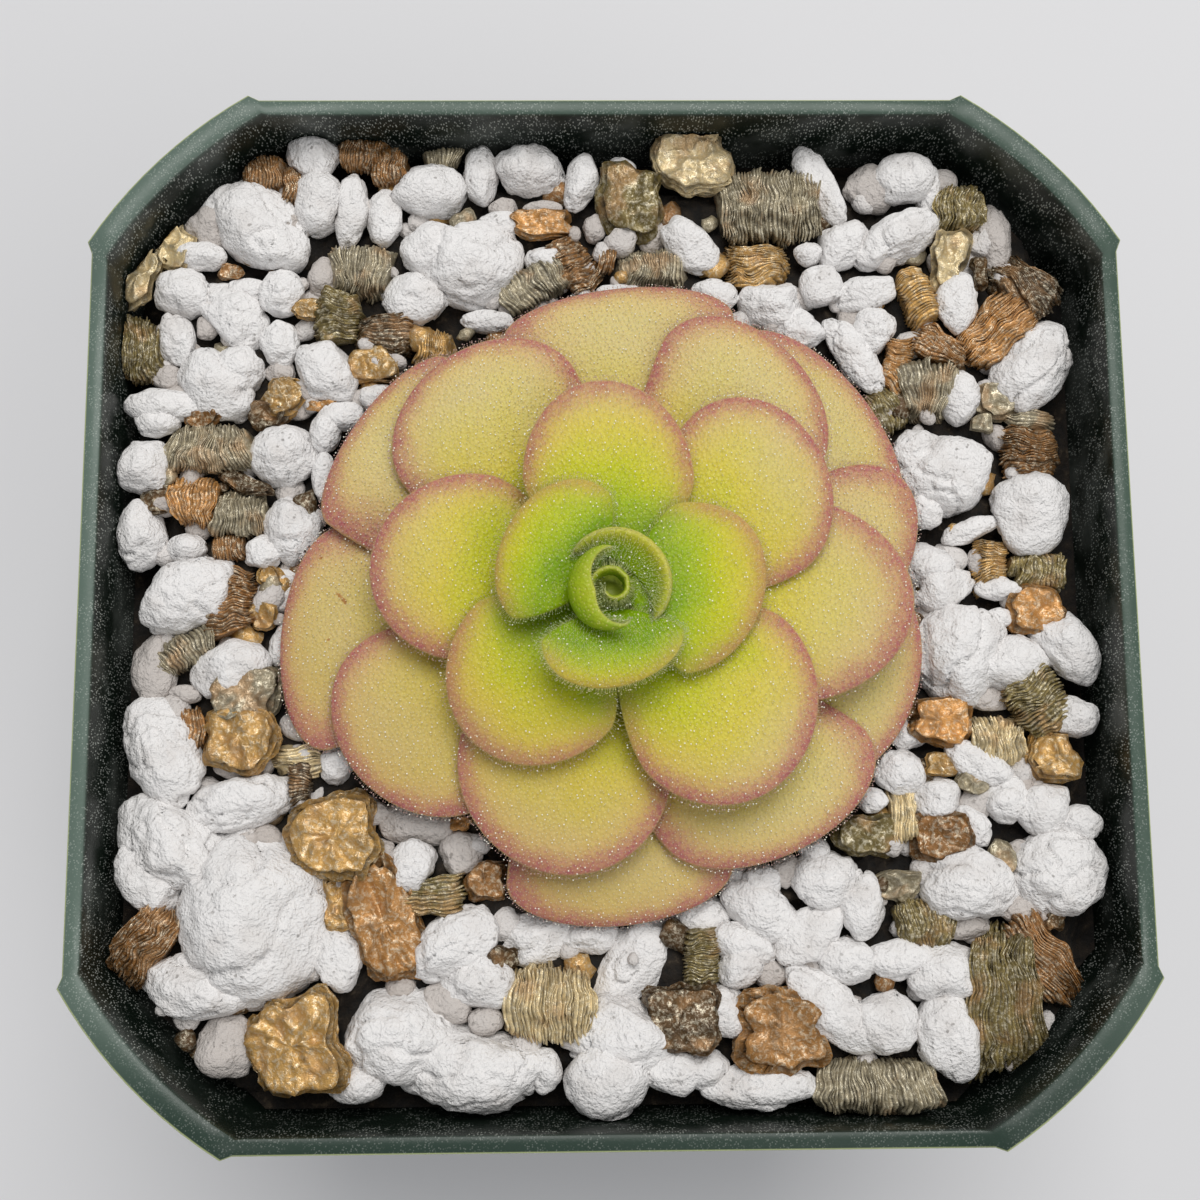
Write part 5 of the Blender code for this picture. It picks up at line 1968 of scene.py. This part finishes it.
    def closed(
        self, form: Stack, rows: list[Array], groove: list[Array], light: list[Array]
    ) -> tuple[Array, Array, Array]:
        """Close a stack's two ends with smaller rings and a pole each.

        Args:
            form: the stack's form.
            rows: its rings of points.
            groove: how deep in a groove each point lies.
            light: how bright each point is.

        Returns:
            Points, depths and brightness, ring by ring from pole to pole.
        """
        around = len(form.spin)
        parts = np.linspace(0.9, 0.12, 8) if form.flat else np.array([0.75, 0.4])
        caps, poles = [], []
        for row in (rows[0], rows[-1]):
            middle = row.mean(0)
            caps.append([middle + (row - middle) * part for part in parts])
            poles.append(np.tile(middle, (around, 1)))
        sheets = np.array([poles[0], *caps[0][::-1], *rows, *caps[1], poles[1]])
        cap = np.zeros((len(parts) + 1, around))
        deep = np.vstack([cap, *groove, cap])
        return sheets, deep, np.vstack([cap + light[0].mean(), *light, cap + light[-1].mean()])

    def crumpled(self, form: Stack, local: Array, deep: Array) -> tuple[Array, Array]:
        """Crumple a flat stack's face, paint shade into its creases and turn its face up.

        Args:
            form: the stack's form.
            local: its points, with x along the stack.
            deep: how deep in a groove each lies.

        Returns:
            The points, with z along the stack, and the depths.
        """
        sway = np.stack([self.noise.at(local + form.folds + k * 7, 1.2) for k in (1, 2)], axis=1)
        local[:, 1:] += sway * 0.28
        crumple = np.abs(self.noise.at(local + form.folds, 1.5)) * 0.75
        crumple += np.abs(self.noise.at(local - form.folds, 0.7)) * 0.42
        local[:, 0] += 0.3 - crumple
        # The creases get painted shade through their groove depths.
        deep = np.clip(deep + np.where(deep > 0.5, 0, 0.75 - crumple * 2.4), 0, 1)
        return np.stack([local[:, 1], local[:, 2], local[:, 0]], axis=1), deep

    def spokes(self, sides: tuple[float, float, float], flat: bool) -> Array:
        """Angles of the points round a layer: close together where they show, and few below.

        Args:
            sides: half the stack's depth, width and height.
            flat: whether the layers lie flat, so that all of the rim shows.

        Returns:
            Angles from zero round to a full turn.
        """
        if flat:
            count = int(np.clip((sides[1] + sides[2]) * 7, 20, 64))
            return np.linspace(0, 2 * math.pi, count, endpoint=False)
        count = int(np.clip((sides[1] + sides[2]) * 6.5, 14, 44))
        upper = np.linspace(-0.3, math.pi + 0.3, count)
        return np.concatenate([upper, np.linspace(math.pi + 0.8, 2 * math.pi - 0.8, 4)])

    def bed(self) -> bpy.types.Object:
        """The deep mix, shaped from a fine grid whose edge is drawn down to the pot's floor.

        Returns:
            The bed.
        """
        deselect_all()
        cells = self.bed_cells
        bpy.ops.mesh.primitive_grid_add(x_subdivisions=cells, y_subdivisions=cells, size=2.0)
        made = bpy.context.object
        made.name = "mix_bed"
        bpy.ops.object.mode_set(mode="EDIT")
        bpy.ops.mesh.select_all(action="DESELECT")
        bpy.ops.mesh.select_non_manifold()
        bpy.ops.mesh.extrude_region_move(TRANSFORM_OT_translate={"value": (0, 0, -0.5)})
        bpy.ops.mesh.extrude_region_move(TRANSFORM_OT_translate={"value": (0, 0, -0.5)})
        bpy.ops.mesh.edge_face_add()
        bpy.ops.mesh.select_all(action="SELECT")
        bpy.ops.mesh.normals_make_consistent(inside=False)
        bpy.ops.object.mode_set(mode="OBJECT")
        unit = points_of(made.data)
        levels = {
            0.0: self.bed_z - self.bed_sunk,
            -0.5: Pot.COLLAR_Z - Pot.FLARE_DOWN,
            -1.0: Pot.FLOOR_Z + self.clear,
        }
        out = unit.copy()
        for mark, z in levels.items():
            on = np.abs(unit[:, 2] - mark) < 0.01
            half = Pot.inner_half(z) - self.clear
            x, y = unit[on, 0] * half, unit[on, 1] * half
            out[on, 0], out[on, 1] = Pot.cut_corners(x, y, half)
            out[on, 2] = z
        top = np.abs(unit[:, 2]) < 0.01
        edge = np.maximum(np.abs(unit[top, 0]), np.abs(unit[top, 1]))
        crumb = self.noise.at(out[top], 2.4) * 0.7 + self.noise.at(out[top], 0.9) * 0.35
        sunk = self.edge_sunk * np.clip((edge - 0.9) * 14, 0, 1)
        out[top, 2] += crumb * np.clip((1 - edge) * 20, 0, 1) - sunk
        near = np.hypot(out[top, 0] - Rosette.AXIS_X, out[top, 1] - Rosette.AXIS_Y)
        out[top, 2] = np.where(near < self.crown_hollow, self.bed_z - self.crown_sunk, out[top, 2])
        set_points(made.data, out)
        made.data.materials.append(BedSkin().material())
        return made

    def crumbs(self, perlite: Heap, flakes: Heap) -> None:
        """Small bits between the grains by a seeded rule, perlite and vermiculite alike.

        Args:
            perlite: what gathers the perlite.
            flakes: what gathers the vermiculite.
        """
        balls = {True: self.ball(3), False: self.ball(2)}
        for _ in range(self.crumb_count):
            x, y = self.rng.uniform(-self.crumb_reach, self.crumb_reach, 2)
            side = self.rng.uniform(*self.crumb_sides)
            grain = Grain(x, y, side * 1.25, side, self.rng.uniform(0, 180))
            wanted = self.rng.uniform(*self.crumb_rises)
            if self.roof[self.squares(np.array([[x, y]]))][0] < Pot.RIM_Z + 1 and self.rng.random() < 0.6:
                continue
            rise = self.rise_of(grain, wanted)
            if self.rng.random() < self.perlite_crumbs:
                self.lump(perlite, grain, rise, self.rng.uniform(0.3, 0.9), balls[side > self.fine_crumb])
            else:
                self.chip(flakes, grain, rise, balls[False])

    def chip(self, heap: Heap, grain: Grain, rise: float, ball: tuple[Array, Array]) -> None:
        """A small flake of vermiculite.

        Args:
            heap: what gathers it.
            grain: its place and sides.
            rise: how far its top stands over the bed.
            ball: points and triangles of a unit ball.
        """
        way, faces = ball
        size = 1 + self.noise.at(way * 2 + self.rng.uniform(0, 30, 3), 1.0) * 0.4
        half = np.array([grain.long / 2, grain.short / 2, grain.short * 0.3])
        placed = self.place(way * size[:, None] * half, grain, rise, half[2])
        tone = self.rng.choice([Tone.BROWN, Tone.GOLD, Tone.DARK, Tone.SILVER])
        colour = np.tile(tone.light_face(), (len(placed), 1))
        heap.add(placed, faces, groove=self.rng.uniform(0, 0.5, len(placed)), tone=colour)

    def build(self) -> None:
        """Build the bed, the perlite, the vermiculite and the crumbs."""
        names = ("perlite_coarse", "perlite_fine", "perlite_crumbs")
        names += ("vermiculite_stacks", "vermiculite_flats", "vermiculite_crumbs")
        heaps = {name: Heap() for name in names}
        coarse, fine, small, stacks, flats, bits = heaps.values()
        balls = {detail: self.ball(detail) for detail in (4, 5)}
        for table, share, dusty in ((self.perlite, 1.0, 0.0), (self.dusty_perlite, 0.65, 0.75)):
            for row in table:
                grain = Grain(*row)
                rise = self.rise_of(grain, min(0.9 + 0.34 * grain.short, 5.0) * share)
                big = grain.long >= self.big_perlite
                self.lump(coarse if big else fine, grain, rise, dusty, balls[5 if big else 4])
        for row in self.vermiculite:
            grain = Grain(*row[:5])
            rise = self.rise_of(grain, 0.9 + 0.26 * grain.short)
            lay = Lay(row[5][1])
            self.stack(flats if lay is Lay.FLAT else stacks, grain, rise, Tone.of(row[5][0]), lay)
        self.crumbs(small, bits)
        settle(self.bed(), "mix", "media")
        perlite = PerliteSkin().material()
        mica = VermiculiteSkin().material()
        for name, heap in heaps.items():
            settle(heap.piece(name, perlite if name.startswith("perlite") else mica), "mix")


@dataclass(frozen=True)
class Lamp:
    """A square lamp: its name, its place and side in metres, and its power in watts."""

    name: str
    place: tuple[float, float, float]
    side: float
    power: float


@dataclass
class Studio:
    """The pale floor, the soft light and the camera."""

    floor_side: float = 3.0
    floor_colour: str = "dcdcde"
    surround: Colour = (0.95, 0.97, 1.0, 1.0)
    surround_power: float = 0.36
    lamp_colour: tuple[float, float, float] = (1.0, 0.985, 0.96)
    lamps: tuple[Lamp, ...] = (
        Lamp("panel_main", (0.05, 0.34, 0.75), 0.45, 4.2),
        Lamp("panel_side", (0.35, -0.3, 0.65), 0.5, 1.15),
    )

    focal_px: float = 1500.0
    frame_px: float = 1200.0
    sensor_mm: float = 36.0
    camera_x: float = -2.8
    camera_y: float = -17.4
    camera_over_rim: float = 121.6
    tilt: tuple[float, float, float] = (8.14, -0.86, -0.47)

    def build(self) -> None:
        """Set up the floor, light and camera, and show colours as they are."""
        bpy.context.scene.view_settings.view_transform = "Standard"
        self.floor()
        self.light()
        self.camera()

    def floor(self) -> None:
        """A large pale sheet."""
        deselect_all()
        bpy.ops.mesh.primitive_plane_add(size=self.floor_side)
        sheet = bpy.context.object
        sheet.name = "floor"
        board = Board("floor_paper")
        board.set(Base_Color=linear(self.floor_colour), Roughness=0.9)
        sheet.data.materials.append(board.material)

    def light(self) -> None:
        """Two soft panels and an even surround."""
        world = bpy.data.worlds.new("surround")
        world.use_nodes = True
        sky = world.node_tree.nodes["Background"]
        sky.inputs["Color"].default_value = self.surround
        sky.inputs["Strength"].default_value = self.surround_power
        bpy.context.scene.world = world
        for lamp in self.lamps:
            light = bpy.data.lights.new(lamp.name, "AREA")
            light.size = lamp.side
            light.energy = lamp.power
            light.color = self.lamp_colour
            holder = bpy.data.objects.new(lamp.name, light)
            holder.location = lamp.place
            aim = Vector((0, 0, Pot.RIM_Z * MM)) - Vector(lamp.place)
            holder.rotation_euler = aim.to_track_quat("-Z", "Y").to_euler()
            bpy.context.scene.collection.objects.link(holder)

    def camera(self) -> None:
        """The camera over the pot, nearly straight down."""
        lens = bpy.data.cameras.new("camera")
        lens.sensor_width = self.sensor_mm
        lens.lens = self.focal_px / self.frame_px * self.sensor_mm
        lens.clip_start = 0.005
        holder = bpy.data.objects.new("camera", lens)
        holder.location = (self.camera_x * MM, self.camera_y * MM, (Pot.RIM_Z + self.camera_over_rim) * MM)
        holder.rotation_euler = Euler([math.radians(a) for a in self.tilt])
        bpy.context.scene.collection.objects.link(holder)
        bpy.context.scene.camera = holder


def main() -> None:
    """Build every sub-assembly in order."""
    logging.basicConfig(level=logging.INFO, format="%(name)s %(message)s")
    Pot().build()
    Mix().build()
    Rosette().build()
    Studio().build()


if __name__ == "__main__":
    main()
